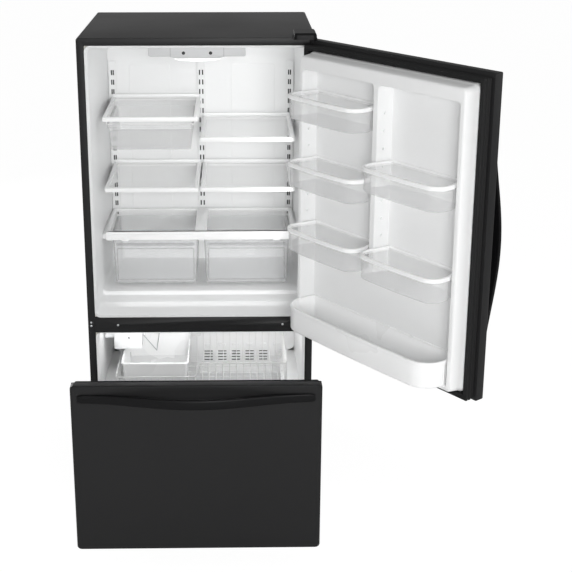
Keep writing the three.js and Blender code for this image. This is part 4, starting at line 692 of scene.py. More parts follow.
housing = {
    "half": 171.0, "top": 1703.7, "bottom": 1663.4, "step": 5.0, "centre": 88.0, "slope": 5.0,
    "corner": 7.0, "rows": [(58.0, 2.4), (58.8, 0.9), (60.6, 0), (297.0, 0), (300.0, 2.4)],
    "seams": (-94, 94), "seamHalf": 0.6, "seam": (57.8, 60, 1668, 1703.4, 0.2),
    "dials": (-47.5, 47.5), "dialLevel": 1681, "dialRun": (57.3, 60), "dial": (6.2, 28, 0.8),
}
lens = {
    "half": 82, "level": 1663, "top": 1674.5, "steps": 40, "narrow": 0.03, "rise": 1.5,
    "drop": 12.7, "fullness": 0.7,
    "rows": [(74.4, 0.0), (75.2, 0.6), (79, 1.0), (200, 1.0), (236, 0.93), (239.6, 0.5)],
}


def housingShape():
    # A shallow box under the ceiling whose middle third stands a little lower.
    h = housing
    near, far = h["centre"] - h["slope"], h["centre"] + h["slope"]
    rings = []
    for y, inset in h["rows"]:
        half, low, high = h["half"] - inset, h["bottom"] + inset, h["bottom"] + h["step"] + inset
        outline = [(-half, high), (-far, high), (-near, low), (near, low), (far, high),
                   (half, high), (half, h["top"]), (-half, h["top"])]
        rings.append([(x, y, z) for x, z in softPath(outline, h["corner"], 6, closed=True)])
    return loft(rings)


def lensShape():
    rings = []
    for y, size in lens["rows"]:
        half = lens["half"] * (1 - lens["narrow"] + lens["narrow"] * size)
        ring = []
        for i in range(lens["steps"] + 1):
            t = math.pi * i / lens["steps"]
            drop = lens["rise"] + lens["drop"] * math.sin(t) ** lens["fullness"]
            ring.append((-half * math.cos(t), y, lens["level"] - drop * size))
        rings.append(ring + [(lens["half"], y, lens["top"]), (-lens["half"], y, lens["top"])])
    return loft(rings)


make("controlHousing", housingShape(), "housingGrey", "cabinet", "control_housing")
h = housing
seams = [slab(x - h["seamHalf"], x + h["seamHalf"], *h["seam"]) for x in h["seams"]]
dials = [cylinder(*[(x, y, h["dialLevel"]) for y in h["dialRun"]], *h["dial"]) for x in h["dials"]]
make("housingSeams", gather(*seams), "seamGrey", "cabinet")
# The dials are flat near-black discs on the housing's face: painted shade of recesses.
make("housingDials", gather(*dials), "recessShadeBlack", "cabinet")
make("lightLens", lensShape(), "lensWhite", "cabinet", "light_lens")
print("controls and light")

doorFront = {
    "half": 416.0, "bottom": 691.0, "top": 1741.0, "face": -75.0, "back": -38.0, "corner": 4.0,
    "sideRoll": 13.0, "rollDepth": 9.0, "endRoll": 3.5, "steps": 10,
    "rearEdge": [(0, 1.6), (0.4, 0.5), (1.4, 0)], "rearCorner": 2,
}
drawerFront = {**doorFront, "bottom": 73.0, "top": 684.0, "corner": 12.0}
doorHandle = {
    "centre": -381.0, "middle": 1184.0, "length": 808.0, "bow": 51.4, "root": 8.0, "thick": 13.0,
    "width": 34.8, "stations": 72, "sides": 28, "taper": 0.18, "tip": 0.012, "tipWidth": 0.72,
    "tipHeight": 0.7, "least": 0.35, "square": (0.55, 0.7, 0.5), "face": -75,
}
drawerHandle = {**doorHandle, "centre": 640.0, "middle": 0.0, "length": 784.0}


def pressedFront(size):
    # A pan of sheet steel: flat face, rolled sides, tight ends.
    face, back, corner, steps = size["face"], size["back"], size["corner"], size["steps"]

    def row(y, side, end, radius):
        return (y, size["half"] - side, size["bottom"] + end, size["top"] - end, radius)

    rows = [row(back - ahead, inset, inset, corner if ahead else size["rearCorner"])
            for ahead, inset in size["rearEdge"]]
    for i in range(steps + 1):
        t = math.radians(90 * i / steps)
        side, end = (size[roll] * (1 - math.cos(t)) for roll in ("sideRoll", "endRoll"))
        y = face + size["rollDepth"] * (1 - math.sin(t))
        rows.append(row(y, side, end, max(1, corner - end * 0.5)))
    rows.append(row(face, size["sideRoll"] + 1, size["endRoll"] + 1, max(1, corner - 3)))
    return loft(frontRings(rows, 6))


def signedPower(value, power):
    return math.copysign(abs(value) ** power, value)


def bowHandle(size, upright):
    # A bar with a crowned face that rises from the front in one long bow.
    sideways, outer, inner = size["square"]
    rings = []
    for i in range(size["stations"]):
        t = -1 + 2 * i / (size["stations"] - 1)
        along = size["middle"] + t * size["length"] / 2
        tip = math.sqrt(min(1, (1 - abs(t)) / size["tip"]))
        height = size["root"] + size["bow"] * math.cos(t * math.pi / 2) ** 2
        under = max(size["least"], height - size["thick"])
        half = size["width"] / 2 * (1 - size["taper"] * t * t)
        half *= size["tipWidth"] + (1 - size["tipWidth"]) * tip
        crown = (height - under) * (size["tipHeight"] + (1 - size["tipHeight"]) * tip) / 2
        ring = []
        for k in range(size["sides"]):
            a = 2 * math.pi * k / size["sides"]
            across = size["centre"] + half * signedPower(math.cos(a), sideways)
            rise = signedPower(math.sin(a), outer if math.sin(a) > 0 else inner)
            y = size["face"] - (under + crown + crown * rise)
            ring.append((across, y, along) if upright else (along, y, across))
        rings.append(ring)
    return loft(rings)


for name, size, body, node in (("doorFront", doorFront, "door", "door_skin"),
                               ("drawerFront", drawerFront, "freezer_drawer", "drawer_skin")):
    make(name, pressedFront(size), "blackEnamel", body, node, 50)
make("doorHandle", bowHandle(doorHandle, True), "blackPlastic", "door", "door_handle", sharp=60)
make("drawerHandle", bowHandle(drawerHandle, False), "blackPlastic", "freezer_drawer",
     "drawer_handle", sharp=60)
print("fronts and handles")

# The section is y and how far in: the ribs from the root to the tip, then the plain inner side.
gasket = {
    "half": 408.0, "corner": 6, "leastCorner": 1.0, "round": 1.0, "door": (697, 1729),
    "drawer": (79, 672),
    "section": [(-34.9, 2), (-29, 1), (-27.9, 2), (-25.9, 5), (-22.9, 5), (-20.9, 0.4), (-18, 0),
        (-14.9, 0.4), (-12.9, 4), (-9.9, 4), (-7.9, 0.4), (-4, 0), (-0.9, 2), (-0.9, 6),
        (-1.6, 12), (-0.9, 17), (-6, 18.8), (-20, 18.4), (-34.9, 18.8)],
}
for name, body in (("door", "door"), ("drawer", "freezer_drawer")):
    g = gasket
    z0, z1 = g[name]
    rows = [(y, g["half"] - inset, z0 + inset, z1 - inset,
             max(g["leastCorner"], g["corner"] - inset * 0.25))
            for y, inset in softPath(g["section"], g["round"], 3, closed=True)]
    make(name + "Gasket", loft(frontRings(rows, 5), closed=True), "sealRubber", body,
         name + "_gasket")


def softMin(a, b, k):
    return np.minimum(a, b) - np.maximum(k - np.abs(a - b), 0) ** 2 / (4 * k)


def softMax(a, b, k):
    return -softMin(-a, -b, k)


def insideRounded(x, z, box, radius):
    # How far a point lies inside a rounded rectangle.
    x0, x1, z0, z1 = box
    qx = np.abs(x - (x0 + x1) / 2) - ((x1 - x0) / 2 - radius)
    qz = np.abs(z - (z0 + z1) / 2) - ((z1 - z0) / 2 - radius)
    outside = np.hypot(np.maximum(qx, 0), np.maximum(qz, 0))
    return radius - outside - np.minimum(np.maximum(qx, qz), 0)


def gridLines(low, high, dense, fine, coarse):
    lines = [low]
    while lines[-1] < high - 1e-6:
        near = any(a - coarse * 0.6 <= lines[-1] < b for a, b in dense)
        lines.append(min(high, lines[-1] + (fine if near else coarse)))
    return np.array(lines)


def reliefShape(size, height):
    # A moulded sheet as a field of heights over x and z, closed with a flat back.
    fine, coarse = size["fine"], size["coarse"]
    xs = gridLines(-size["half"], size["half"], size["denseX"], fine, coarse)
    zs = gridLines(size["bottom"], size["top"], size["denseZ"], fine, coarse)
    gx, gz = np.meshgrid(xs, zs, indexing="ij")
    points = [tuple(p) for p in np.stack([gx, height(gx, gz), gz], -1).reshape(-1, 3)]
    nx, nz = len(xs), len(zs)
    faces = []
    for i in range(nx - 1):
        for j in range(nz - 1):
            a = i * nz + j
            faces.append((a, a + 1, a + nz + 1, a + nz))
    border = [(i, 0) for i in range(nx)] + [(nx - 1, j) for j in range(1, nz)]
    border += [(i, nz - 1) for i in range(nx - 2, -1, -1)] + [(0, j) for j in range(nz - 2, 0, -1)]
    start, count = len(points), len(border)
    points += [(xs[i], size["back"], zs[j]) for i, j in border]
    for k, (i, j) in enumerate(border):
        after = (k + 1) % count
        i2, j2 = border[after]
        faces.append((i * nz + j, i2 * nz + j2, start + after, start + k))
    faces.append(tuple(range(start, start + count)))
    return points, faces


# A slope's pairs are how far inside the edge and how far back the sheet stands there.
doorRelief = {
    "half": 402.0, "bottom": 701.0, "top": 1723.0, "back": -37.7, "fine": 1.7, "coarse": 22.0,
    "edge": (-388.7, 388.7, 716.3, 1709.7), "corner": 26, "flange": -35.2,
    "slope": [(0, -35.2), (1.5, -9), (6.6, 0), (12, 41), (31, 75)], "rim": 45.0, "floor": -15.0,
    "draft": 7.0, "floorRound": 14, "rimRound": 10, "seamRound": 5,
    "pockets": [((11, 358.5, 970, 1655), 16), ((-358.5, -11, 970, 1655), 16),
        ((-358.5, 358.5, 745, 1030), 3)],
    "denseX": [(-402, -340), (-24, 24), (340, 402)],
    "denseZ": [(701, 765), (1012, 1046), (1634, 1723)],
}
doorCore = {
    **doorRelief, "half": 398.0, "bottom": 705.0, "top": 1719.0, "back": -70.0, "under": 3.0,
}
drawerRelief = {
    "half": 402.0, "bottom": 83.0, "top": 666.0, "back": -37.7, "fine": 2.0, "coarse": 22.0,
    "edge": (-388.7, 388.7, 98.3, 652.7), "corner": 12, "round": 2,
    "slope": [(0, -35.2), (1.5, -11), (7, -3.4), (30, -3.4)],
    "dish": [(31, -3.4), (40, -13.6), (60, -13.6)], "denseX": [(-402, -330), (330, 402)],
    "denseZ": [(83, 150), (600, 666)],
}


def doorHeight(x, z):
    r = doorRelief
    rim, floor = r["rim"], r["floor"]
    outer = np.interp(insideRounded(x, z, r["edge"], r["corner"]), *zip(*r["slope"]))
    depth = np.max([insideRounded(x, z, box, radius) for box, radius in r["pockets"]], axis=0)
    wall = rim - depth * (rim - floor) / r["draft"]
    pocket = softMin(softMax(wall, floor, r["floorRound"]), rim, r["rimRound"])
    sheet = softMin(softMin(outer, rim, r["rimRound"]), pocket, r["seamRound"])
    return np.maximum(sheet, r["flange"])


def drawerHeight(x, z):
    r = drawerRelief
    edge = insideRounded(x, z, r["edge"], r["corner"])
    return softMin(np.interp(edge, *zip(*r["slope"])), np.interp(edge, *zip(*r["dish"])),
                   r["round"])


make("doorLiner", reliefShape(doorRelief, doorHeight), "moulded", "door", "door_liner",
     55)
make("doorCore", reliefShape(doorCore, lambda x, z: doorHeight(x, z) - doorCore["under"]), "foam",
     "door", "door_foam", sharp=55)
make("drawerLiner", reliefShape(drawerRelief, drawerHeight), "moulded", "freezer_drawer",
     "drawer_liner", 55)
print("gaskets and door liners")

binSize = {
    "column": 184.75, "rear": 157.75, "waist": 164.75, "wide": 170.75, "front": 124.0,
    "corner": 43.4, "back": -14.7, "bow": 4.0, "height": 82.0, "band": 14.0, "bandOut": 5.0,
    "wall": 2.5, "seats": 1568.0, "pitch": 58.25, "neck": 47, "shoulder": (46, 48.2, 50.2, 52.5),
    "shoulderOut": (1.6, 1.5), "floorRun": 14,
    "places": {"hinge_side_upper": (1, 0), "hinge_side_middle": (1, 4),
        "hinge_side_lower": (1, 8), "free_side_upper": (-1, 3), "free_side_lower": (-1, 8)},
}
troughSize = {
    **binSize, "rear": 344.5, "waist": 351.5, "wide": 352.5, "front": 132.0, "corner": 76.0,
    "height": 88.4, "band": 12.0, "bandOut": 3.0, "rim": 833.9,
}


def binPlan(size, centre, grow):
    # From above: straight back, sides between the dykes, a shoulder, and round front corners.
    back = size["back"] + max(0, -grow)
    rear, waist, wide, nose = (size[k] + grow for k in ("rear", "waist", "wide", "front"))
    r, bow, shoulder = size["corner"] + grow, size["bow"], size["shoulder"]
    half = [(rear, back)]
    for t in (0.35, 0.7):
        half.append((rear + (waist - rear) * t, back + (size["neck"] - back) * t))
    out, under = size["shoulderOut"]
    half += list(zip((waist, waist + out, wide - under, wide), shoulder))
    half.append((wide, (shoulder[3] + nose - r) / 2))
    for i in range(9):
        a = math.radians(90 * i / 8)
        half.append((wide - r + r * math.cos(a), nose - r + r * math.sin(a)))
    half += [((wide - r) * t, nose + bow * (1 - t * t)) for t in (0.75, 0.5, 0.25)]
    left = [(-x, y) for x, y in half[::-1]]
    return [(centre + x, y) for x, y in half + [(0, nose + bow)] + left]


def binRings(size, centre, rows):
    return [[(x, y, z) for x, y in binPlan(size, centre, grow)] for grow, z in rows]


def binTub(size, centre, top):
    low, w, run = top - size["height"], size["wall"], -size["floorRun"]
    profile = [(run, low), (-2.5, low), (0, low + 5), (0, top - 1), (-w, top - 1), (-w, low + 6),
               (-w - 3, low + w), (run, low + w)]
    return loft(binRings(size, centre, softPath(profile, 1.6, 2)))


def binRim(size, centre, top):
    out, low, inner = size["bandOut"], top - size["band"], -size["wall"] - 1.0
    profile = [(-0.4, low), (out - 0.6, low), (out, low + 1), (out, top - 1.6), (out - 1.6, top),
               (inner + 0.4, top), (inner, top - 2), (inner, top - 7), (-0.6, top - 7)]
    return loft(binRings(size, centre, softPath(profile, 0.7, 2, closed=True)), closed=True)


for name, (column, row) in binSize["places"].items():
    b = binSize
    place = (b, column * b["column"], b["seats"] - b["pitch"] * row + b["band"])
    make("binTub_" + name, binTub(*place), "binClear", "door", "door_bin_" + name)
    make("binRim_" + name, binRim(*place), "rimWhite", "door")
place = (troughSize, 0.0, troughSize["rim"])
make("troughTub", gather(binTub(*place), binRim(*place)), "rimWhite", "door", "door_trough")
print("bins and trough")

socketKinds = {int: "NodeSocketInt", tuple: "NodeSocketVector", float: "NodeSocketFloat"}


def startTree(name, numbers):
    # An empty tree with a geometry in and out, a material, and one named number for each size.
    tree = bpy.data.node_groups.new(name, "GeometryNodeTree")
    new = tree.interface.new_socket
    new(name="Geometry", in_out="INPUT", socket_type="NodeSocketGeometry")
    for label, value in numbers.items():
        socket = new(name=label, in_out="INPUT", socket_type=socketKinds[type(value)])
        socket.default_value = value
    new(name="Material", in_out="INPUT", socket_type="NodeSocketMaterial")
    new(name="Geometry", in_out="OUTPUT", socket_type="NodeSocketGeometry")
    return tree, addNode(tree, "NodeGroupInput"), addNode(tree, "NodeGroupOutput")


def endTree(tree, source, output, groupIn, groupOut):
    smoothed = addNode(tree, "GeometryNodeSetShadeSmooth")
    real = addNode(tree, "GeometryNodeRealizeInstances")
    paint = addNode(tree, "GeometryNodeSetMaterial")
    join(tree, (source, output, real, 0), (real, 0, smoothed, "Geometry"),
         (smoothed, 0, paint, "Geometry"), (groupIn, "Material", paint, "Material"),
         (paint, 0, groupOut, 0))
    return tree


def wireTree():
    # Edges become round wire with rounded bends.
    tree, groupIn, groupOut = startTree("bentWires", {
        "Wire Radius": 0.002, "Bend Radius": 0.01, "Sides": 8, "Bend Steps": 4})
    curve = addNode(tree, "GeometryNodeMeshToCurve")
    bend = addNode(tree, "GeometryNodeFilletCurve", {"Limit Radius": True}, mode="POLY")
    circle = addNode(tree, "GeometryNodeCurvePrimitiveCircle")
    sweep = addNode(tree, "GeometryNodeCurveToMesh", {"Fill Caps": True})
    join(tree, (groupIn, "Geometry", curve, "Mesh"), (curve, 0, bend, "Curve"),
         (groupIn, "Bend Radius", bend, "Radius"), (groupIn, "Bend Steps", bend, "Count"),
         (groupIn, "Wire Radius", circle, "Radius"), (groupIn, "Sides", circle, "Resolution"),
         (bend, 0, sweep, "Curve"), (circle, 0, sweep, "Profile Curve"))
    return endTree(tree, sweep, 0, groupIn, groupOut)


def studTree():
    # A flat-headed stud at every point, turned to face its side.
    tree, groupIn, groupOut = startTree("studs", {
        "Head Radius": 0.004, "Head Height": 0.002, "Top Share": 0.7, "Sides": 14,
        "Facing": (0.0, 0.0, 0.0)})
    head = addNode(tree, "GeometryNodeMeshCone")
    topRadius = addNode(tree, "ShaderNodeMath", operation="MULTIPLY")
    toPoints = addNode(tree, "GeometryNodeMeshToPoints")
    copies = addNode(tree, "GeometryNodeInstanceOnPoints")
    turn = addNode(tree, "FunctionNodeEulerToRotation")
    join(tree, (groupIn, "Head Radius", topRadius, 0), (groupIn, "Top Share", topRadius, 1),
         (groupIn, "Sides", head, "Vertices"), (topRadius, 0, head, "Radius Top"),
         (groupIn, "Head Radius", head, "Radius Bottom"), (groupIn, "Head Height", head, "Depth"),
         (groupIn, "Geometry", toPoints, "Mesh"), (toPoints, 0, copies, "Points"),
         (head, "Mesh", copies, "Instance"), (groupIn, "Facing", turn, 0),
         (turn, 0, copies, "Rotation"))
    return endTree(tree, copies, 0, groupIn, groupOut)


def grow(name, tree, points, edges, values, look, body, stands=None):
    # Runs a tree on points and edges in millimetres and keeps the result as a plain mesh.
    base = bpy.data.meshes.new(name + "Base")
    base.from_pydata(placed(points, body), edges, [])
    holder = newObject(name + "Holder", base)
    run = holder.modifiers.new("grow", "NODES")
    run.node_group = tree
    sockets = {item.name: item.identifier for item in tree.interface.items_tree
               if item.item_type == "SOCKET" and item.in_out == "INPUT"}
    for label, value in {**values, "Material": finishes[look]}.items():
        run[sockets[label]] = value
    mesh = evaluated(holder)
    mesh.set_sharp_from_angle(angle=math.radians(softEdge["sharp"]))
    show(name, mesh, look, body, stands)


wires, studs = wireTree(), studTree()

basket = {
    "front": 6.0, "back": 414.0, "half": 322.0, "floor": 393.3, "split": -12.0, "low": 466.0,
    "high": 520.0, "along": 25, "across": 8, "sideIn": 2, "crossRise": 3, "middleOut": 0.4,
    "wires": {"Wire Radius": 0.0016, "Bend Radius": 0.012},
    "rails": {"Wire Radius": 0.0027, "Bend Radius": 0.018, "Sides": 12, "Bend Steps": 6},
}


def strands(paths):
    # Points and edges of open wires.
    points, edges = [], []
    for path in paths:
        start = len(points)
        points += path
        edges += [(start + i, start + i + 1) for i in range(len(path) - 1)]
    return points, edges


def basketPaths():
    # The wires of the floor and walls, and the stepped rim with the rail along the front.
    b = basket
    y0, y1, half, floor = b["front"], b["back"], b["half"], b["floor"]
    split, low, high = b["split"], b["low"], b["high"]
    wirePaths = []
    for i in range(b["along"]):
        x = -half + 2 * half * i / (b["along"] - 1)
        top = low if x < split else high
        wirePaths.append([(x, y0, top), (x, y0, floor), (x, y1, floor), (x, y1, top)])
    side, rise = half - b["sideIn"], floor + b["crossRise"]
    for i in range(1, b["across"]):
        y = y0 + (y1 - y0) * i / b["across"]
        wirePaths.append([(-side, y, low), (-side, y, rise), (side, y, rise), (side, y, high)])
    rim = [(split, y1, low), (-half, y1, low), (-half, y0, low), (split, y0, low),
           (split, y0, high), (half, y0, high), (half, y1, high), (split, y1, high),
           (split, y1, low)]
    level = (low + floor) / 2
    rail = [(x, y0 - b["middleOut"], level) for x in (-half, half)]
    return wirePaths, [rim, rail]


wirePaths, railPaths = basketPaths()
grow("basketWires", wires, *strands(wirePaths), basket["wires"], "wireWhite", "basket",
     "wire_basket")
grow("basketRails", wires, *strands(railPaths), basket["rails"], "wireWhite", "basket")

binButtons = {
    "inner": 11.0, "outer": 358.5, "y": 16.0, "first": 1562.7, "pitch": 58.25, "rows": 9,
    "proud": 1.0, "radius": 0.005, "reach": 0.009, "topShare": 0.86,
}
for turn, facing in ((-1, "Left"), (1, "Right")):
    b = binButtons
    levels = [b["first"] - b["pitch"] * row for row in range(b["rows"])]
    points = [(turn * (wall - b["proud"]), b["y"], z) for z in levels
              for wall in (b["inner"], -b["outer"])]
    grow("binButtons" + facing, studs, points, [], {
        "Head Radius": b["radius"], "Head Height": b["reach"], "Top Share": b["topShare"],
        "Facing": (0.0, math.radians(90) * turn, math.radians(stance["doorAngle"]))},
        "moulded", "door")

# Each head is its radius and height in metres and the share of its flat top.
screws = {
    "front": {"head": (0.0042, 0.0013, 0.6), "facing": 90,
              "at": [(-305, -1.6, 680.5), (305, -1.6, 680.5), (-404, -0.1, 690.5),
                     (-404, -0.1, 677)]},
    "rear": {"head": (0.0046, 0.0022, 0.65), "facing": -90,
             "at": [(x, 685.0, z) for x in (-404, 404) for z in range(360, 1731, 152)]
             + [(x, 685.0, 1726) for x in range(-330, 331, 165)]},
    "cover": {"head": (0.0046, 0.0022, 0.65), "facing": -90,
              "at": [(x, 685.5, z) for x in (-404, 0, 404) for z in (72, 314)]},
}
for name, screw in screws.items():
    values = dict(zip(("Head Radius", "Head Height", "Top Share"), screw["head"]))
    values["Facing"] = (math.radians(screw["facing"]), 0.0, 0.0)
    grow(name + "Screws", studs, screw["at"], [], values, "zinc", "cabinet")
print("wires, buttons and screws")

iceBin = {
    "plan": (-302.0, -52.0, 56.0, 372.0), "bottom": 398.4, "top": 502.0, "lean": 8.0, "wall": 2.5,
    "corner": 16.0, "rimRound": 0.5,
    "rim": [(0.2, 494), (2.6, 494), (3, 495), (3, 501), (2, 502), (-2.6, 502), (-2.9, 500),
        (-2.9, 497), (0, 497)],
}
freezerBin = {
    "plan": (-347.7, 347.7, 6.0, 318.0), "bottom": 122.0, "top": 377.4, "lean": 9.0, "wall": 2.5,
    "corner": 22.0, "flange": (346, 357.3), "flangeBlock": (16, 304, 374.5, 377.4, 0.6),
}
rim = ringBand(iceBin["plan"], iceBin["corner"], iceBin["rim"], iceBin["rimRound"])
make("iceBinTub", gather(tubShape(iceBin), rim), "rimWhite", "basket", "ice_bin")
shapes = [slab(*span, *freezerBin["flangeBlock"]) for span in bothSides(*freezerBin["flange"])]
make("freezerBinTub", gather(tubShape(freezerBin), *shapes[::-1]), "moulded", "freezer_drawer",
     "freezer_bin")

ventPanel = {
    "half": 348.0, "wide": 372.6, "face": 440.0, "back": 443.0, "bottom": 335.6, "shoulder": 392.4,
    "lap": 0.4, "top": 638.6, "corner": 20.0, "first": 19.0,
    "section": [(0.6, 443.0), (0, 442.5), (0, 440.5), (0.5, 440.0)], "pitch": 56.5, "groups": 5,
    "width": 34.0, "low": 344.0, "rowPitch": 12.5, "rows": 4, "slot": 5.0, "padHalf": 15,
    "padLevels": (406, 420), "padCorner": 6,
    "padSection": [(0, 440.3), (0.6, 438.4), (2.4, 437.2)], "sideWall": (345, 348),
    "sideBlock": (442, 551, 347, 627, 0.6), "roof": (-348, 348, 442, 551, 624.6, 627.4, 0.6),
    "shade": (-5, 262, 446, 450, 338, 392, 0.5),
}


def ventPanelShapes():
    # The plate across the back of the freezer, with its groups of air slots and a row of pads.
    v = ventPanel
    face, back, half, wide = v["face"], v["back"], v["half"], v["width"] / 2
    centres = [v["first"] + v["pitch"] * group for group in range(v["groups"] + 1)]
    levels = [v["low"] + v["rowPitch"] * row for row in range(v["rows"])]
    rows = [(z, z + v["slot"]) for z in levels]
    shapes = [punched((-half, half, v["bottom"], v["shoulder"]),
                      [(x - wide, x + wide) for x in centres[:-1]], rows, face, back),
              loft(insetRings((-v["wide"], v["wide"], v["shoulder"] - v["lap"], v["top"]),
                              v["section"], v["corner"], 0, steps=6, upright=True))]
    for x in centres:
        box = (x - v["padHalf"], x + v["padHalf"], *v["padLevels"])
        shapes.append(loft(insetRings(box, v["padSection"], v["padCorner"], 0, upright=True)))
    shapes += [slab(*span, *v["sideBlock"]) for span in bothSides(*v["sideWall"])]
    return shapes + [slab(*v["roof"])]


iceMakerDot = ((-281, 149.6, 566), (-281, 152.5, 566), 3.4, 20, 0.6)
make("ventPanel", gather(*ventPanelShapes()), "freezerLitWhite", "cabinet", "evaporator_cover",
     30)
make("ventShade", slab(*ventPanel["shade"]), "slotShade", "cabinet")
soften("ice_maker", "makerGrey", "cabinet", 1.6, 3)
# The ice maker's dot is a flat near-black disc: painted shade of a recess.
make("iceMakerDot", cylinder(*iceMakerDot), "recessShadeBlack", "cabinet")
soften("ice_arm", "zinc", "ice_arm", 0.3)
soften("drawer_frame", "zinc", "freezer_drawer", 0.4)
for side in ("left", "right"):
    soften("slide_rail_" + side, "zinc", "cabinet", 0.4)
print("freezer fittings")

hingeCover = {
    "plan": (335.0, 413.2, -54.8, 68.0), "corner": 12.0, "leastCorner": 3, "round": 3,
    "section": [(0, 1743.4), (0, 1758.2), (3.5, 1764.0), (8, 1765.2), (16, 1765.2)],
}
h = hingeCover
rings = insetRings(h["plan"], softPath(h["section"], h["round"], 4), h["corner"], 0.5,
                   h["leastCorner"], 7)
make("hingeCover", loft(rings), "blackPlastic", "cabinet", "hinge_cover")
for node in ("top_hinge", "centre_hinge"):
    soften(node, "blackEnamel", "cabinet", 0.6)

backSheet = {
    "half": 414.4, "inner": 684.0, "sheet": 1.2, "bead": 2.8, "beads": (-260.0, 0.0, 260.0),
    "foot": 16, "crest": 9, "round": 4.0, "levels": (324.0, 1741.4),
}
bayCover = {
    "half": 414.4, "face": 685.6, "back": 684.0, "bottom": 62.4, "top": 323.6,
    "columns": (-320.0, -100.0, 120.0), "wide": 200.0, "first": 124.0, "pitch": 42.0, "rows": 4,
    "slot": 9.0, "hoodIn": 1, "hoodRound": 1.2,
    "hood": [(685.2, 3.4), (685.2, -0.4), (688.2, -6.0), (689.0, -5.2)],
    "fittings": ((-360.0, 14.0, 6.0), (345.0, 9.0, 4.0)), "fittingLevel": 92,
    "fittingRun": (684.6, 691.0), "fittingEdge": 1.4, "fittingRound": 0.8, "sides": 28,
}


def backSheetShape():
    # The long rear sheet with three pressed beads.
    b = backSheet
    y, sheet = b["inner"] + b["sheet"], b["sheet"]
    outside = [(-b["half"], y)]
    for x in b["beads"]:
        outside += [(x - b["foot"], y), (x - b["crest"], y + b["bead"]),
                    (x + b["crest"], y + b["bead"]), (x + b["foot"], y)]
    outside = softPath(outside + [(b["half"], y)], b["round"], 4)
    inside = [(x, y - sheet) for x, y in outside[::-1]]
    return loft([[(x, y, z) for x, y in outside + inside] for z in b["levels"]])


def bayCoverShapes():
    # The lower rear plate with rows of hooded louvres and two fittings for lines.
    b = bayCover
    levels = [b["first"] + b["pitch"] * row for row in range(b["rows"])]
    shapes = [punched((-b["half"], b["half"], b["bottom"], b["top"]),
                      [(x, x + b["wide"]) for x in b["columns"]],
                      [(z, z + b["slot"]) for z in levels], b["back"], b["face"])]
    for x in b["columns"]:
        ends = (x + b["hoodIn"], x + b["wide"] - b["hoodIn"])
        for z in levels:
            hood = softPath([(y, z + b["slot"] + rise) for y, rise in b["hood"]], b["hoodRound"], 3,
                            closed=True)
            shapes.append(loft([[(px, y, pz) for y, pz in hood] for px in ends]))
    near, far = b["fittingRun"]
    turns = [2 * math.pi * k / b["sides"] for k in range(b["sides"])]
    for x, radius, bore in b["fittings"]:
        section = softPath([(near, radius), (far, radius - b["fittingEdge"]), (far, bore),
                            (near, bore)], b["fittingRound"], 3, closed=True)
        shapes.append(loft([[(x + r * math.cos(t), y, b["fittingLevel"] + r * math.sin(t))
                             for t in turns] for y, r in section], closed=True))
    return shapes


make("backSheet", backSheetShape(), "rearSteel", "cabinet", "back_panel")
make("bayCover", gather(*bayCoverShapes()), "rearSteel", "cabinet", "rear_cover", 30)
for node, look, body, width in (("base_frame", "zinc", "cabinet", 0.5),
                                ("levelling_leg_left", "zinc", "leg_left", 0.5),
                                ("levelling_leg_right", "zinc", "leg_right", 0.5),
                                ("rear_rollers", "tyreBlack", "rollers", 0.8),
                                ("compressor", "canBlack", "cabinet", 1.2)):
    soften(node, look, body, width)
nodes["cabinet_foam"].data.materials.clear()
nodes["cabinet_foam"].data.materials.append(finishes["foam"])
print("hinges, base and back")

studio = {
    "reach": 30, "floorTone": 0.9, "cameraTone": 1.08, "cameraShare": 0.88, "worldTone": 0.34,
    "whiteTone": 1.0, "backdropRise": (0.01, 0.11),
}
r = studio["reach"]
floorMesh = bpy.data.meshes.new("floor")
floorMesh.from_pydata([(-r, -r, 0), (r, -r, 0), (r, r, 0), (-r, r, 0)], [], [(0, 1, 2, 3)])
floorObject = newObject("floor", floorMesh)
floorPaint = bpy.data.materials.new("floorPaint")
tree = clearTree(floorPaint)
out = addNode(tree, "ShaderNodeOutputMaterial")
plain = addNode(tree, "ShaderNodeBsdfDiffuse", {"Color": (*[studio["floorTone"]] * 3, 1)})
glow = addNode(tree, "ShaderNodeEmission", {"Color": (*[studio["cameraTone"]] * 3, 1)})
rays = addNode(tree, "ShaderNodeLightPath")
share = addNode(tree, "ShaderNodeMath", {1: studio["cameraShare"]}, operation="MULTIPLY")
mix = addNode(tree, "ShaderNodeMixShader")
join(tree, (rays, "Is Camera Ray", share, 0), (share, 0, mix, 0), (plain, 0, mix, 1),
     (glow, 0, mix, 2), (mix, 0, out, 0))
floorMesh.materials.append(floorPaint)

# Reflections see the white backdrop near the horizon and the dimmer room above it.
world = bpy.data.worlds.new("studio")
bpy.context.scene.world = world
tree = clearTree(world)
low, high = studio["backdropRise"]
out = addNode(tree, "ShaderNodeOutputWorld")
sky, white = (addNode(tree, "ShaderNodeBackground", {
    "Color": (1, 1, 1, 1), "Strength": studio[tone]}) for tone in ("worldTone", "whiteTone"))
rays = addNode(tree, "ShaderNodeLightPath")
shown = addNode(tree, "ShaderNodeMath", operation="MAXIMUM")
mirrored = addNode(tree, "ShaderNodeMath", operation="MULTIPLY")
seen = addNode(tree, "ShaderNodeMath", operation="MAXIMUM")
heading = addNode(tree, "ShaderNodeTexCoord")
parts = addNode(tree, "ShaderNodeSeparateXYZ")
fade = addNode(tree, "ShaderNodeMapRange", {"From Min": low, "From Max": high, "To Min": 1.0,
                                            "To Max": 0.0})
mix = addNode(tree, "ShaderNodeMixShader")
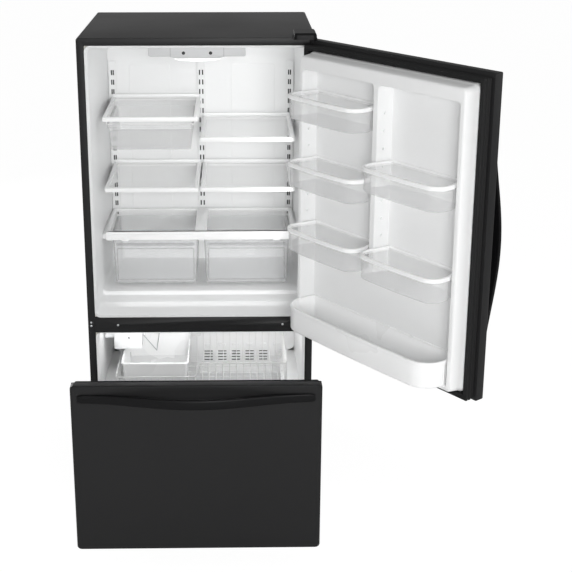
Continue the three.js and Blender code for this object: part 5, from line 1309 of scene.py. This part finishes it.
join(tree, (heading, "Generated", parts, 0), (parts, "Z", fade, "Value"),
     (rays, "Is Glossy Ray", mirrored, 0), (fade, 0, mirrored, 1),
     (rays, "Is Camera Ray", shown, 0), (rays, "Is Transmission Ray", shown, 1),
     (shown, 0, seen, 0), (mirrored, 0, seen, 1), (seen, 0, mix, 0), (sky, 0, mix, 1),
     (white, 0, mix, 2), (mix, 0, out, 0))

lamps = {
    "keyLamp": {"at": (0.4, -5.0, 2.1), "to": (-0.2, 0, 0.85), "size": (1.6, 1.6), "power": 118},
    "fillLamp": {"at": (-3.4, -3.4, 1.2), "to": (0, 0, 0.9), "size": (1.8, 1.8), "power": 8},
    "sideLamp": {"at": (3.6, -1.2, 2.4), "to": (0, 0, 0.9), "size": (2.2, 2.2), "power": 24},
    "topLamp": {"at": (0, -1.4, 4.4), "to": (0, -0.2, 0), "size": (2.6, 2.6), "power": 7},
    "rearLamp": {"at": (-3.0, 3.4, 1.5), "to": (0, 0, 0.9), "size": (2.0, 2.0), "power": 60},
    # Small cards inside the two rooms, which no reflection shows.
    "freshCard": {"at": (-0.27, 0.06, 0.765), "to": (-0.27, 0.5, 0.95), "size": (0.62, 0.03),
                  "power": 0.15},
    "ceilingCard": {"at": (-0.27, 0.09, 1.655), "to": (-0.27, 0.5, 1.2), "size": (0.5, 0.08),
                    "power": 0.4},
    "wallCard": {"at": (0.06, 0.1, 1.32), "to": (-0.62, 0.34, 1.3), "size": (0.06, 0.7),
                 "power": 0.72},
    "freezerCard": {"at": (-0.27, 0.05, 0.628), "to": (-0.27, 0.5, 0.42), "size": (0.66, 0.05),
                    "power": 0.85},
}
for name, lamp in lamps.items():
    light = bpy.data.lights.new(name, "AREA")
    light.shape = "RECTANGLE"
    light.size, light.size_y = lamp["size"]
    light.energy = lamp["power"]
    lampObject = newObject(name, light)
    lampObject.location = lamp["at"]
    aim = Vector(lamp["to"]) - Vector(lamp["at"])
    lampObject.rotation_euler = aim.to_track_quat("-Z", "Y").to_euler()
    lampObject.visible_camera = False
    lampObject.visible_glossy = "Lamp" in name
bpy.context.scene.view_settings.view_transform = "Standard"
print("floor and light")
